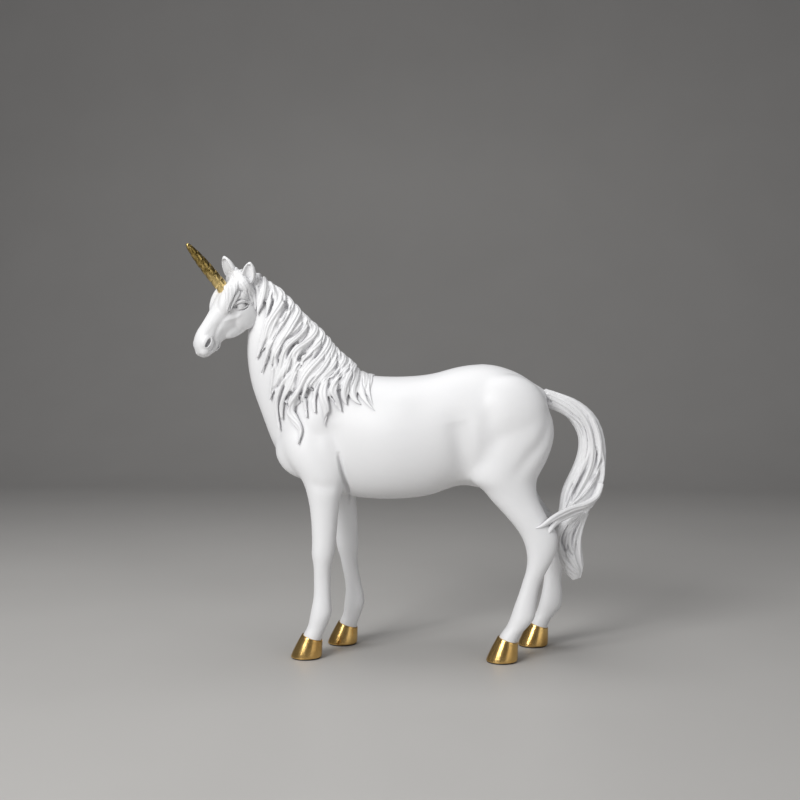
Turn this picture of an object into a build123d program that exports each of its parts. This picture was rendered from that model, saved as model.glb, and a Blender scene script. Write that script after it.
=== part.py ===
from build123d import *

import os
from math import cos, pi, radians, sin

# Standing unicorn figurine: white resin castings glued on steel wires, with a plated horn and hooves.
# Millimetres. The animal faces -X with its left side towards -Y, and stands on Z = 0.

# Overall sizes of the animal
BODY_LENGTH = 200.0
WITHERS_HEIGHT = 190.0
BARREL_DEPTH = 80.0
BARREL_WIDTH = 66.0
FRONT_STANCE = 38.0
HIND_STANCE = 43.0

# Head and face
HEAD_LENGTH = 67.0
HEAD_DEPTH = 32.0
HEAD_WIDTH = 25.0
HEAD_PITCH = 54.0
HEAD_TURN = 42.0
EAR_WIDTH = 10.0
EAR_WALL = 1.2
EYE_LENGTH = 8.0
EYE_HEIGHT = 5.0
EYEBALL_DIAMETER = 6.6
NOSTRIL_LENGTH = 5.2
NOSTRIL_WIDTH = 2.8

# Horn
HORN_LENGTH = 41.0
HORN_DIAMETER = 9.0
HORN_TIP_DIAMETER = 1.8
HORN_LEAN = 9.5
HORN_FLUTES = 2
HORN_TURNS = 3.5
HORN_FLUTE_SHARE = 0.07
HORN_TAPER_SHARE = 0.62

# Legs, hooves and pads
LEG_DEPTH = 14.4
LEG_WIDTH = 14.0
FRONT_SEAM_HEIGHT = 106.0
HIND_SEAM_HEIGHT = 102.0
HOOF_LENGTH = 21.4
HOOF_WIDTH = 19.0
HOOF_REACH = 4.2
CORONET_HEIGHT = 14.4
CORONET_SLOPE = 17.0
CORONET_LEDGE = 0.5
PAD_THICKNESS = 0.8
PAD_INSET = 1.2

# Mane and forelock
MANE_THICKNESS = 4.6
MANE_GAP = 0.3
MANE_EDGE = 0.6
MANE_LOCKS = 10
MANE_GROOVE_SHARE = 0.36
MANE_TIP_SHARE = 0.07
FORELOCK_WIDTH = 8.0
FORELOCK_THICKNESS = 3.4
FORELOCK_PROUD_SHARE = 0.5

# Tail
TAIL_WIDTH = 27.0
TAIL_DEPTH = 21.0
TAIL_STRANDS = 7
TAIL_TWIST = 80.0
TAIL_GROOVE_SHARE = 0.08
TAIL_LOCK_WIDTH = 8.0
TAIL_LOCK_THICKNESS = 5.0

# Steel wires, dowels and the glue gap round them
LEG_WIRE_DIAMETER = 3.0
WIRE_BEND_RADIUS = 8.0
DOWEL_DIAMETER = 3.0
DOWEL_LENGTH = 14.0
NECK_DOWEL_DIAMETER = 5.0
NECK_DOWEL_LENGTH = 24.0
GLUE_GAP = 0.1

# Trunk and neck from dock to poll: place along, height, half depth, half width, backward lean
TRUNK_SHARES = (
    (0.505, 0.905, 0.110, 0.130, 0),
    (0.460, 0.862, 0.280, 0.290, 0),
    (0.400, 0.834, 0.440, 0.400, 0),
    (0.310, 0.822, 0.535, 0.465, 0),
    (0.210, 0.833, 0.490, 0.478, 0),
    (0.100, 0.815, 0.467, 0.500, 0),
    (-0.025, 0.796, 0.492, 0.500, 0),
    (-0.140, 0.795, 0.525, 0.462, 2),
    (-0.225, 0.824, 0.568, 0.420, 9),
    (-0.305, 0.876, 0.560, 0.365, 17),
    (-0.358, 0.948, 0.510, 0.300, 21),
    (-0.408, 1.036, 0.440, 0.245, 24),
    (-0.458, 1.130, 0.372, 0.200, 25),
    (-0.492, 1.214, 0.300, 0.172, 21),
    (-0.512, 1.295, 0.200, 0.155, 12),
)
NECK_SEAM_STATION = 12.7

# Poll ahead of, beside and above the last trunk station
POLL_SHARES = (0.10, -0.13, 0.75)

# Head from poll to lips: place along, lift of the centre, half depth, half width
HEAD_SHARES = (
    (-0.045, 0.030, 0.155, 0.200),
    (0.022, 0.020, 0.300, 0.320),
    (0.134, -0.047, 0.420, 0.420),
    (0.284, -0.060, 0.497, 0.480),
    (0.388, -0.047, 0.503, 0.490),
    (0.493, -0.042, 0.467, 0.430),
    (0.597, -0.012, 0.400, 0.352),
    (0.701, 0.037, 0.325, 0.304),
    (0.806, 0.069, 0.281, 0.320),
    (0.896, 0.047, 0.250, 0.328),
    (0.955, 0.012, 0.175, 0.272),
    (0.993, -0.031, 0.062, 0.120),
)
HORN_SEAT_SHARES = (0.287, 0.0, 0.360)
EYE_SHARES = (0.361, 0.400, 0.034)
NOSTRIL_SHARES = (0.876, 0.310, 0.097)

# Ears: place of the root and of the tip on the head, left one then right one
EAR_ENDS_SHARES = (
    ((0.100, 0.300, 0.100), (-0.052, 0.500, 0.400)),
    ((0.100, -0.290, 0.180), (-0.043, -0.330, 0.728)),
)
# Each ear from root to tip: place up, half width, half thickness
EAR_SHARES = (
    (0.0, 0.30, 0.26),
    (0.28, 0.46, 0.36),
    (0.56, 0.46, 0.33),
    (0.82, 0.32, 0.24),
    (1.0, 0.07, 0.06),
)

# Legs from trunk to coronet: place along, outward place, height, half depth, half width
FRONT_LEG_SHARES = (
    (-0.300, 0.62, 0.890, 1.25, 0.62),
    (-0.302, 0.78, 0.790, 1.50, 0.86),
    (-0.285, 0.88, 0.710, 1.42, 0.88),
    (-0.258, 0.92, 0.632, 1.07, 0.82),
    (-0.254, 0.95, 0.560, 0.78, 0.68),
    (-0.252, 1.00, 0.420, 0.57, 0.52),
    (-0.255, 1.00, 0.368, 0.52, 0.50),
    (-0.257, 1.00, 0.326, 0.43, 0.43),
    (-0.258, 1.00, 0.274, 0.40, 0.35),
    (-0.258, 1.00, 0.221, 0.41, 0.35),
    (-0.261, 1.00, 0.165, 0.50, 0.44),
    (-0.276, 1.00, 0.110, 0.45, 0.42),
    (-0.287, 1.00, 0.087, 0.46, 0.44),
    (-0.302, 1.00, 0.050, 0.50, 0.48),
)
HIND_LEG_SHARES = (
    (0.370, 0.50, 0.955, 1.05, 0.62),
    (0.394, 0.64, 0.880, 1.83, 1.18),
    (0.390, 0.68, 0.790, 1.92, 1.25),
    (0.374, 0.71, 0.710, 1.80, 1.18),
    (0.352, 0.76, 0.637, 1.58, 1.00),
    (0.392, 0.84, 0.562, 1.12, 0.76),
    (0.435, 0.92, 0.498, 0.93, 0.64),
    (0.477, 1.00, 0.400, 0.73, 0.53),
    (0.460, 1.00, 0.318, 0.48, 0.43),
    (0.447, 1.00, 0.284, 0.44, 0.37),
    (0.436, 1.00, 0.246, 0.44, 0.36),
    (0.424, 1.00, 0.196, 0.51, 0.40),
    (0.414, 1.00, 0.154, 0.56, 0.45),
    (0.378, 1.00, 0.100, 0.46, 0.43),
    (0.366, 1.00, 0.078, 0.46, 0.45),
    (0.354, 1.00, 0.050, 0.48, 0.48),
)
# How far each right leg stands back from the left one, by height
FRONT_BACK_SHARES = ((0.0, 0.107), (0.20, 0.090), (0.35, 0.064), (0.50, 0.046), (0.70, 0.015), (1.0, 0.0))
HIND_BACK_SHARES = ((0.0, 0.128), (0.20, 0.110), (0.35, 0.090), (0.50, 0.060), (0.70, 0.012), (1.0, 0.0))
# Heights that the leg wires bend at and end at
FRONT_WIRE_SHARES = (0.165, 0.326, 0.730)
HIND_WIRE_SHARES = (0.154, 0.318, 0.447, 0.730)

# Hoof from sole to coronet: place up, and size against a straight taper
HOOF_SHARES = ((0.0, 0.95), (0.06, 1.0), (0.5, 1.01), (0.94, 1.0), (1.0, 0.94))

# Tail from dock to tip: place along, height, half width across, half depth
TAIL_SHARES = (
    (0.485, 0.928, 0.20, 0.22),
    (0.545, 0.908, 0.23, 0.26),
    (0.597, 0.880, 0.26, 0.28),
    (0.648, 0.828, 0.28, 0.29),
    (0.662, 0.742, 0.32, 0.32),
    (0.652, 0.668, 0.41, 0.37),
    (0.636, 0.612, 0.49, 0.42),
    (0.612, 0.560, 0.49, 0.46),
    (0.590, 0.487, 0.37, 0.44),
    (0.587, 0.405, 0.32, 0.40),
    (0.592, 0.340, 0.34, 0.38),
    (0.598, 0.300, 0.28, 0.30),
    (0.606, 0.272, 0.12, 0.14),
)
# Side lock of the tail, forward across the left hock: place along, height, then place out from the
# middle of that leg as a share of the leg's width, and size
TAIL_LOCK_SHARES = (
    (0.655, 0.565, -0.99, 0.50),
    (0.635, 0.552, -0.38, 0.84),
    (0.590, 0.530, 0.10, 1.00),
    (0.540, 0.508, 0.44, 0.96),
    (0.490, 0.487, 0.60, 0.76),
    (0.452, 0.470, 0.58, 0.36),
)

# Hem of the mane: angle round the neck from the crest at each trunk station
MANE_HEM_ANGLES = ((7.4, 60), (8.6, 96), (9.6, 118), (10.6, 120), (11.6, 118), (12.6, 110), (13.6, 78))
MANE_TOP_ANGLE = -14
# Rows of the mane from crest to hem: place down, lift of the outer face, drift of the locks
MANE_ROW_SHARES = (
    (0.0, 0.30, 0.0),
    (0.12, 0.80, 0.10),
    (0.32, 1.0, 0.42),
    (0.54, 0.95, 0.60),
    (0.76, 0.80, 0.48),
    (0.92, 0.60, 0.66),
    (1.0, 0.34, 0.84),
)
STATIONS_PER_LOCK = 3
STATIONS_PER_FLUTE = 2
TRUNK_STEPS = 2

# Forelock strands over the head, each from root to tip: place along, place across, size
FORELOCK_SHARES = (
    ((0.00, 0.02, 1.00), (0.14, 0.15, 1.00), (0.27, 0.27, 0.85), (0.37, 0.35, 0.60), (0.45, 0.40, 0.24)),
    ((0.01, 0.04, 1.00), (0.11, 0.18, 1.00), (0.18, 0.34, 0.90), (0.22, 0.44, 0.65), (0.26, 0.49, 0.30)),
    ((0.00, -0.04, 1.00), (0.13, -0.20, 0.95), (0.25, -0.33, 0.72), (0.34, -0.40, 0.28)),
)

POINTS_PER_LOBE = 4
STRAND_POINTS = 8
WHITE = Color(0.93, 0.93, 0.94)
GOLD = Color(0.72, 0.52, 0.20)
STEEL = Color(0.60, 0.61, 0.63)
DARK = Color(0.08, 0.08, 0.08)


def blend(low, high, share):
    """The value a share of the way from low to high."""
    return low + (high - low) * share


def look_up(table, place):
    """The row of a table at a place between its rows, without the first column."""
    rows = sorted(table)
    place = min(max(place, rows[0][0]), rows[-1][0])
    for low, high in zip(rows, rows[1:]):
        if place <= high[0]:
            share = (place - low[0]) / (high[0] - low[0])
            return [blend(a, b, share) for a, b in zip(low[1:], high[1:])]
    return list(rows[-1][1:])


def smooth_rows(rows, steps):
    """A table with rows added between its own, on a smooth curve through them."""
    last, smooth = len(rows) - 1, []
    for i in range(last):
        before, low, high, after = (rows[min(max(i + k, 0), last)] for k in (-1, 0, 1, 2))
        for step in range(steps):
            t = step / steps
            smooth.append([
                b + t * (c - a + t * (2 * a - 5 * b + 4 * c - d + t * (3 * b - a - 3 * c + d))) / 2
                for a, b, c, d in zip(before, low, high, after)
            ])
    return smooth + [list(rows[last])]


def ring(plane, half_x, half_y, seam=0.0):
    """An oval section in a plane, with its seam turned by seam degrees."""
    return plane * Rot(0, 0, seam) * Ellipse(half_x, half_y)


def lobed_ring(plane, half_x, half_y, lobes=0, lobe_share=0.0, twist=0.0, seam=0.0):
    """A section through points, with lobes round it that start at twist degrees, or a plain oval."""
    count = max(STRAND_POINTS, POINTS_PER_LOBE * lobes)
    points = []
    for i in range(count):
        angle = 2 * pi * i / count + radians(seam)
        swell = 1 + lobe_share * cos(lobes * (angle - radians(twist)))
        local = (half_x * swell * cos(angle), half_y * swell * sin(angle), 0)
        points.append(plane.from_local_coords(local))
    return make_face(Spline(*points, periodic=True))


def keep_side(solid, plane, above):
    """The part of a solid on one side of a plane."""
    return split(solid, bisect_by=plane, keep=Keep.TOP if above else Keep.BOTTOM)


def dowel(plane, diameter, length, gap=0.0):
    """Straight dowel centred on a seam, along the plane's normal, or the hole for it."""
    return plane * Cylinder(diameter / 2 + gap, length + 2 * gap)


def trunk_station(place):
    """Centre, half depth, half width and lean of the trunk at a station number, whole or not."""
    rows = smooth_rows(TRUNK_SHARES, TRUNK_STEPS)
    low = min(int(place * TRUNK_STEPS), len(rows) - 2)
    share = place * TRUNK_STEPS - low
    along, height, depth, width, lean = (blend(a, b, share) for a, b in zip(rows[low], rows[low + 1]))
    return along * BODY_LENGTH, height * WITHERS_HEIGHT, depth * BARREL_DEPTH, width * BARREL_WIDTH, lean


def trunk_plane(place):
    """Section plane of the trunk: its X runs up the section and its normal towards the head."""
    x, z, _, _, lean = trunk_station(place)
    tilt = radians(lean)
    return Plane((x, 0, z), x_dir=(sin(tilt), 0, cos(tilt)), z_dir=(-cos(tilt), 0, sin(tilt)))


def trunk():
    """Trunk and neck in one loft from dock to poll."""
    rings = []
    for i in range((len(TRUNK_SHARES) - 1) * TRUNK_STEPS + 1):
        place = i / TRUNK_STEPS
        _, _, half_depth, half_width, _ = trunk_station(place)
        rings.append(ring(trunk_plane(place), half_depth, half_width, seam=180))
    return loft(rings, ruled=True)


def head_plane():
    """Frame of the head at the poll: X to the muzzle, Y to the left side, Z out of the forehead."""
    x, z, half_depth, half_width, _ = trunk_station(len(TRUNK_SHARES) - 1)
    ahead, beside, above = POLL_SHARES
    pitch, turn = radians(HEAD_PITCH), radians(HEAD_TURN)
    return Plane(
        (x - ahead * half_depth, beside * half_width, z + above * half_depth),
        x_dir=(-cos(turn) * cos(pitch), -sin(turn) * cos(pitch), -sin(pitch)),
        z_dir=(-cos(turn) * sin(pitch), -sin(turn) * sin(pitch), cos(pitch)),
    )


def on_head(along, across, out):
    """A place on the head, from shares of its length, width and depth."""
    return head_plane().from_local_coords((along * HEAD_LENGTH, across * HEAD_WIDTH, out * HEAD_DEPTH))


def head_station(along, lift, half_depth, half_width):
    """Plane and half sizes of one station of the head."""
    frame = head_plane()
    plane = Plane(on_head(along, 0, lift), x_dir=frame.z_dir, z_dir=frame.x_dir)
    return plane, half_depth * HEAD_DEPTH, half_width * HEAD_WIDTH


def head_skin(along, across):
    """Height of the skin above the head's centre line at a place, as a share of the head's depth."""
    lift, half_depth, half_width = look_up(HEAD_SHARES, along)
    reach = min(abs(across) / half_width, 1.0)
    return lift + half_depth * (1 - reach**2) ** 0.5


def ear(root_shares, tip_shares):
    """Outside and hollow of a pointed ear from its root to its tip, open to the front."""
    root, tip = on_head(*root_shares), on_head(*tip_shares)
    length = (tip - root).length
    axis = (tip - root).normalized()
    forward = head_plane().x_dir
    forward = (forward - axis * forward.dot(axis)).normalized()
    seat = Plane(root, x_dir=forward.cross(axis), z_dir=axis)
    outer, inner = [], []
    for place, wide, thick in EAR_SHARES:
        outer.append(ring(seat.offset(place * length), wide * EAR_WIDTH, thick * EAR_WIDTH))
    for place, wide, thick in EAR_SHARES[1:-1]:
        level = seat.offset(place * length)
        level.origin = level.origin + forward * (thick * EAR_WIDTH)
        inner.append(ring(level, wide * EAR_WIDTH - EAR_WALL, thick * EAR_WIDTH))
    return loft(outer, ruled=True), loft(inner, ruled=True)


def oval_ball(centre, plane, length, height, depth):
    """Ellipsoid with its length along the plane's X and its depth along the normal."""
    seat = Plane(centre, x_dir=plane.x_dir, z_dir=plane.z_dir)
    return seat * scale(Sphere(length / 2), by=(1, height / length, depth / length))


def head(neck_top):
    """Head with ears, eyes and nostrils, in one casting with the top of the neck."""
    skull = loft([ring(*head_station(*row), seam=180) for row in HEAD_SHARES], ruled=True)
    solid = skull + neck_top
    for ends in EAR_ENDS_SHARES:
        outer, inner = ear(*ends)
        solid = solid + (outer - inner)
    frame = head_plane()
    side = Plane(frame.origin, x_dir=frame.x_dir, z_dir=frame.y_dir)
    for hand in (1, -1):
        along, across, out = EYE_SHARES
        opening = on_head(along, hand * (across + EYE_HEIGHT / 2 / HEAD_WIDTH), out)
        solid -= oval_ball(opening, side, EYE_LENGTH, EYE_HEIGHT, EYE_HEIGHT)
        solid += Pos(*on_head(along, hand * across, out)) * Sphere(EYEBALL_DIAMETER / 2)
        along, across, out = NOSTRIL_SHARES
        nostril = on_head(along, hand * across, out)
        solid -= oval_ball(nostril, side, NOSTRIL_LENGTH, NOSTRIL_WIDTH, NOSTRIL_WIDTH)
    return solid


def horn_plane():
    """Seat of the horn on the forehead, with its normal along the horn."""
    frame, lean = head_plane(), radians(HORN_LEAN)
    direction = frame.z_dir * cos(lean) - frame.x_dir * sin(lean)
    return Plane(on_head(*HORN_SEAT_SHARES), x_dir=frame.y_dir, z_dir=direction)


def horn():
    """Tapered horn with two flutes wound round it, flat at its root."""
    seat, steps, rings = horn_plane(), int(HORN_TURNS * HORN_FLUTES * STATIONS_PER_FLUTE), []
    for i in range(steps + 1):
        share = i / steps
        radius = blend(HORN_TIP_DIAMETER, HORN_DIAMETER, (1 - share) ** HORN_TAPER_SHARE) / 2
        twist = 360 * HORN_TURNS * share
        level = seat.offset(share * HORN_LENGTH)
        rings.append(lobed_ring(level, radius, radius, HORN_FLUTES, HORN_FLUTE_SHARE, twist))
    return loft(rings, ruled=True)


def leg_stations(front, left):
    """Stations of one leg from the trunk down: centre, half depth and half width of each."""
    shares = FRONT_LEG_SHARES if front else HIND_LEG_SHARES
    backs = FRONT_BACK_SHARES if front else HIND_BACK_SHARES
    stance = (FRONT_STANCE if front else HIND_STANCE) / 2
    stations = []
    for along, out, height, depth, width in shares:
        back = 0 if left else look_up(backs, height)[0]
        out = -out if left else out
        centre = Vector((along + back) * BODY_LENGTH, out * stance, height * WITHERS_HEIGHT)
        stations.append((centre, depth * LEG_DEPTH, width * LEG_WIDTH))
    return stations


def leg_at(front, left, height):
    """Centre, half depth and half width of a leg at a height."""
    table = [(c.Z, c.X, c.Y, depth, width) for c, depth, width in leg_stations(front, left)]
    x, y, depth, width = look_up(table, height)
    return Vector(x, y, height), depth, width


def whole_leg(front, left):
    """One leg lofted from inside the trunk down to inside the hoof."""
    rings = [ring(Plane(centre), depth, width) for centre, depth, width in leg_stations(front, left)]
    return loft(rings, ruled=True)


def coronet_plane(front, left):
    """Sloping plane between a leg and its hoof, with its normal up."""
    centre, _, _ = leg_at(front, left, CORONET_HEIGHT)
    slope = radians(CORONET_SLOPE)
    return Plane(centre, x_dir=(cos(slope), 0, -sin(slope)), z_dir=(sin(slope), 0, cos(slope)))


def hoof(front, left):
    """Hoof from its sole up to the sloping coronet, a little wider than the leg there."""
    top, depth, width = leg_at(front, left, CORONET_HEIGHT)
    sole = Vector(top.X - HOOF_REACH, top.Y, PAD_THICKNESS)
    rings = []
    for share, trim in HOOF_SHARES:
        slope = radians(CORONET_SLOPE * share)
        centre = sole + (top - sole) * share
        level = Plane(centre, x_dir=(cos(slope), 0, -sin(slope)), z_dir=(sin(slope), 0, cos(slope)))
        half_length = blend(HOOF_LENGTH / 2, depth + CORONET_LEDGE, share) * trim
        half_width = blend(HOOF_WIDTH / 2, width + CORONET_LEDGE, share) * trim
        rings.append(ring(level, half_length, half_width))
    return loft(rings)


def pad(front, left):
    """Thin oval pad under a hoof."""
    top, _, _ = leg_at(front, left, CORONET_HEIGHT)
    seat = Plane((top.X - HOOF_REACH, top.Y, 0))
    outline = seat * Ellipse(HOOF_LENGTH / 2 - PAD_INSET, HOOF_WIDTH / 2 - PAD_INSET)
    return extrude(outline, PAD_THICKNESS)


def leg_wire(front, left, gap=0.0):
    """Steel wire from inside the hoof, up the leg and into the trunk, or the hole for it."""
    shares = FRONT_WIRE_SHARES if front else HIND_WIRE_SHARES
    points = [leg_at(front, left, share * WITHERS_HEIGHT)[0] for share in shares]
    top, _, _ = leg_at(front, left, CORONET_HEIGHT)
    foot = Vector(top.X - HOOF_REACH / 2, top.Y, PAD_THICKNESS + LEG_WIRE_DIAMETER - gap)
    path = FilletPolyline(foot, *points, radius=WIRE_BEND_RADIUS)
    return sweep(Plane(path @ 0, z_dir=path % 0) * Circle(LEG_WIRE_DIAMETER / 2 + gap), path=path)


def neck_point(place, angle, lift):
    """A point on the left skin of the trunk, by angle from the crest, raised by lift."""
    _, _, half_depth, half_width, _ = trunk_station(place)
    turn = radians(angle)
    local = ((half_depth + lift) * cos(turn), -(half_width + lift) * sin(turn), 0)
    return trunk_plane(place).from_local_coords(local)


def mane():
    """Sheet of wavy locks down the left side of the neck, from withers to poll."""
    first, last = MANE_HEM_ANGLES[0][0], MANE_HEM_ANGLES[-1][0]
    count = MANE_LOCKS * STATIONS_PER_LOCK
    sections = []
    for i in range(count + 1):
        share = i / count
        place = blend(first, last, share)
        rise = sin(pi * share) ** 0.3 if 0 < i < count else 0
        hem = look_up(MANE_HEM_ANGLES, place)[0] * (1 + MANE_TIP_SHARE * cos(2 * pi * MANE_LOCKS * share))
        outside, inside = [], []
        for row, height_share, drift in MANE_ROW_SHARES:
            wave = cos(2 * pi * (MANE_LOCKS * share + drift))
            fullness = height_share * (1 - MANE_GROOVE_SHARE * (1 - wave)) * rise
            lift = MANE_GAP + MANE_EDGE + MANE_THICKNESS * fullness
            angle = blend(MANE_TOP_ANGLE, hem, row)
            outside.append(neck_point(place, angle, lift))
            inside.append(neck_point(place, angle, MANE_GAP))
        outer, inner = Spline(*outside), Spline(*reversed(inside))
        sections.append(make_face([outer, Line(outer @ 1, inner @ 0), inner, Line(inner @ 1, outer @ 0)]))
    return loft(sections, ruled=True)


def strand(points, halves, across_hint):
    """Flat tapered lock through points; each half size is (across, out) and across_hint its width way."""
    rings = []
    for i, (point, half) in enumerate(zip(points, halves)):
        ahead, behind = points[min(i + 1, len(points) - 1)], points[max(i - 1, 0)]
        normal = (ahead - behind).normalized()
        across = (across_hint - normal * across_hint.dot(normal)).normalized()
        rings.append(lobed_ring(Plane(point, x_dir=across, z_dir=normal), *half))
    return loft(rings, ruled=True)


def forelock():
    """Three tapered locks falling from the poll over the forehead, lying on the skin."""
    frame, solid = head_plane(), None
    for rows in FORELOCK_SHARES:
        points, halves = [], []
        for along, across, size in rows:
            proud = FORELOCK_PROUD_SHARE * FORELOCK_THICKNESS / HEAD_DEPTH
            points.append(on_head(along, across, head_skin(along, across) + proud))
            halves.append((size * FORELOCK_WIDTH / 2, size * FORELOCK_THICKNESS / 2))
        lock = strand(points, halves, frame.y_dir - frame.z_dir * (rows[-1][1]))
        solid = lock if solid is None else solid + lock
    return solid


def tail():
    """Twisted tail of strands, with the side lock that runs forward across the left hock."""
    points = [Vector(row[0] * BODY_LENGTH, 0, row[1] * WITHERS_HEIGHT) for row in TAIL_SHARES]
    rings, last = [], len(points) - 1
    for i, (_, _, across, depth) in enumerate(TAIL_SHARES):
        normal = (points[min(i + 1, last)] - points[max(i - 1, 0)]).normalized()
        plane = Plane(points[i], x_dir=normal.cross(Vector(0, 1, 0)), z_dir=normal)
        groove = TAIL_GROOVE_SHARE * sin(pi * i / last) ** 0.5 if 0 < i < last else 0
        twist = TAIL_TWIST * i / last
        half_x, half_y = across * TAIL_WIDTH, depth * TAIL_DEPTH
        rings.append(lobed_ring(plane, half_x, half_y, TAIL_STRANDS, groove, twist, twist))
    points, halves = [], []
    for along, height, out, size in TAIL_LOCK_SHARES:
        centre, _, _ = leg_at(False, True, height * WITHERS_HEIGHT)
        points.append(Vector(along * BODY_LENGTH, centre.Y - out * LEG_WIDTH, centre.Z))
        halves.append((size * TAIL_LOCK_WIDTH / 2, size * TAIL_LOCK_THICKNESS / 2))
    return loft(rings, ruled=True) + strand(points, halves, Vector(0, 0, 1))


def build():
    """Every piece by name, with what it is fitted to cut out of it."""
    whole = trunk()
    neck_seam = trunk_plane(NECK_SEAM_STATION)
    body = keep_side(whole, neck_seam, above=False)
    pieces, holes = {}, {}
    for front, fore in ((True, "front"), (False, "hind")):
        seam = Plane((0, 0, FRONT_SEAM_HEIGHT if front else HIND_SEAM_HEIGHT))
        for left, hand in ((True, "left"), (False, "right")):
            limb, hole = whole_leg(front, left), leg_wire(front, left, GLUE_GAP)
            coronet = coronet_plane(front, left)
            body += keep_side(limb, seam, above=True)
            holes[f"{fore}_{hand}"] = hole
            lower = keep_side(keep_side(limb, seam, above=False), coronet, above=True)
            pieces[f"leg_{fore}_{hand}"] = lower - hole
            pieces[f"hoof_{fore}_{hand}"] = keep_side(hoof(front, left), coronet, above=False) - hole
            pieces[f"pad_{fore}_{hand}"] = pad(front, left)
            pieces[f"wire_{fore}_{hand}"] = leg_wire(front, left)
    for hole in holes.values():
        body -= hole
    horn_seam = horn_plane()
    tail_seam = Plane(trunk_plane(0).origin, z_dir=(1, 0, 0))
    dowels = {
        "dowel_neck": (neck_seam, NECK_DOWEL_DIAMETER, NECK_DOWEL_LENGTH),
        "dowel_horn": (horn_seam, DOWEL_DIAMETER, DOWEL_LENGTH),
        "dowel_tail": (tail_seam, DOWEL_DIAMETER, DOWEL_LENGTH),
    }
    cuts = {name: dowel(*sizes, gap=GLUE_GAP) for name, sizes in dowels.items()}
    solid_horn = horn()
    solid_head = head(keep_side(whole, neck_seam, above=True))
    pieces["body"] = body - cuts["dowel_neck"] - cuts["dowel_tail"]
    pieces["head"] = solid_head - solid_horn - cuts["dowel_neck"] - cuts["dowel_horn"]
    pieces["horn"] = solid_horn - cuts["dowel_horn"]
    pieces["mane"] = mane() - solid_head - whole_leg(front=True, left=True)
    pieces["forelock"] = forelock() - solid_head - solid_horn - pieces["mane"]
    pieces["tail"] = tail() - body - pieces["leg_hind_left"] - cuts["dowel_tail"]
    for name, sizes in dowels.items():
        pieces[name] = dowel(*sizes)
    return pieces


def colour_of(name):
    """Colour of a piece by what it is made of."""
    if name.startswith(("hoof", "horn")):
        return GOLD
    if name.startswith(("wire", "dowel")):
        return STEEL
    return DARK if name.startswith("pad") else WHITE


def main():
    """Moves the pieces so that the origin is under the middle of the whole, and writes them."""
    pieces = build()
    box = Compound(children=[Compound(piece.solids()) for piece in pieces.values()]).bounding_box()
    centre = box.center()
    os.makedirs("parts", exist_ok=True)
    for name, piece in pieces.items():
        placed = Pos(-centre.X, -centre.Y, 0) * piece
        placed.color = colour_of(name)
        placed.label = name
        print(name, len(placed.solids()), round(placed.volume), placed.is_valid)
        export_step(placed, f"parts/{name}.step")


main()
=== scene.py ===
from math import cos, pi, radians, sin, sqrt

import bpy
import numpy as np
from mathutils import Matrix, Vector
from mathutils.bvhtree import BVHTree


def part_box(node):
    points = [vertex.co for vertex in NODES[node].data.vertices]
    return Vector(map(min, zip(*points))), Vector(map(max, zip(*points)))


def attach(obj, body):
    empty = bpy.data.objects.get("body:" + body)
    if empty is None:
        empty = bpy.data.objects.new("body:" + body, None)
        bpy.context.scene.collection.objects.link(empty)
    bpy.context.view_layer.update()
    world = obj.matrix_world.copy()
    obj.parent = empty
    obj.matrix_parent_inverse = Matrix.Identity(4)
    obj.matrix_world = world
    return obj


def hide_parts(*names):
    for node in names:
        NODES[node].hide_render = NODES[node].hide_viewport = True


# Unicorn figurine: the white casting, its hair, the gold horn and the gold hooves.
# Pieces are modelled in millimetres and then brought to metres and to the place of the frame.

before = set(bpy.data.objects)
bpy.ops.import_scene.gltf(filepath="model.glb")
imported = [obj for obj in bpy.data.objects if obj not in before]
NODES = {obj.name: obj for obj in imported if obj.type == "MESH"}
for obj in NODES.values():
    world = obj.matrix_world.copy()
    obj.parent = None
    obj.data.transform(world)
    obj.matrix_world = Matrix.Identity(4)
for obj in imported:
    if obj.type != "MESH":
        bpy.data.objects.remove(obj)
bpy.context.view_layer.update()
MM = 0.001

# The left front pad's middle in the modeller's own millimetres, which ties them to the frame
PAD_MIDDLE = (-62.51, -19.0)
pad_low, pad_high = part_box("pad_front_left")
SHIFT = Vector((
    (pad_low[0] + pad_high[0]) / 2 - PAD_MIDDLE[0] * MM,
    (pad_low[1] + pad_high[1]) / 2 - PAD_MIDDLE[1] * MM,
    0,
))

# Camera: place in the same millimetres, turn towards the tail, focal length in the picture's pixels
CAMERA_PLACE = (36.4, -651.0, 174.3)
CAMERA_TURN = 3.2
PICTURE_PIXELS = 800
FOCAL_PIXELS = 940
SENSOR_WIDTH = 36.0
NEAREST_SEEN = 0.01

# Grain of the worked skins, and the most triangles a piece may have
SKIN_VOXEL = 0.5
HEAD_VOXEL = 0.37
FLESH_VOXEL = 1.1
SKULL_VOXEL = 0.6
HAIR_VOXEL = 0.38
HORN_VOXEL = 0.16
TRIANGLE_LIMIT = 190000
HORN_TRIANGLES = 60000
# Points nearer than this are welded, and a loose part with fewer faces is a crumb
WELD = 0.01
CRUMB_FACES = 100
WEIGHT_LEVELS = 24
LEAST_ANGLE = 1e-6
# Grooves: reach in half widths, steepness of the sides, and share of the length at each end
PRESS_REACH = 2
PRESS_FALL = 2
PRESS_END = 0.02


# Plain modelling tools

def blend(low, high, share):
    """The value a share of the way from low to high."""
    return low + (high - low) * share


def smooth_rows(rows, steps):
    """Rows of numbers with more rows between them, on a smooth curve through them."""
    rows, last, smooth = [np.array(row, float) for row in rows], len(rows) - 1, []
    for i in range(last):
        a, b, c, d = (rows[min(max(i + k, 0), last)] for k in (-1, 0, 1, 2))
        for step in range(steps):
            t = step / steps
            bend = 2 * a - 5 * b + 4 * c - d + t * (3 * b - a - 3 * c + d)
            smooth.append(b + t * (c - a + t * bend) / 2)
    return smooth + [rows[last]]


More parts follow.
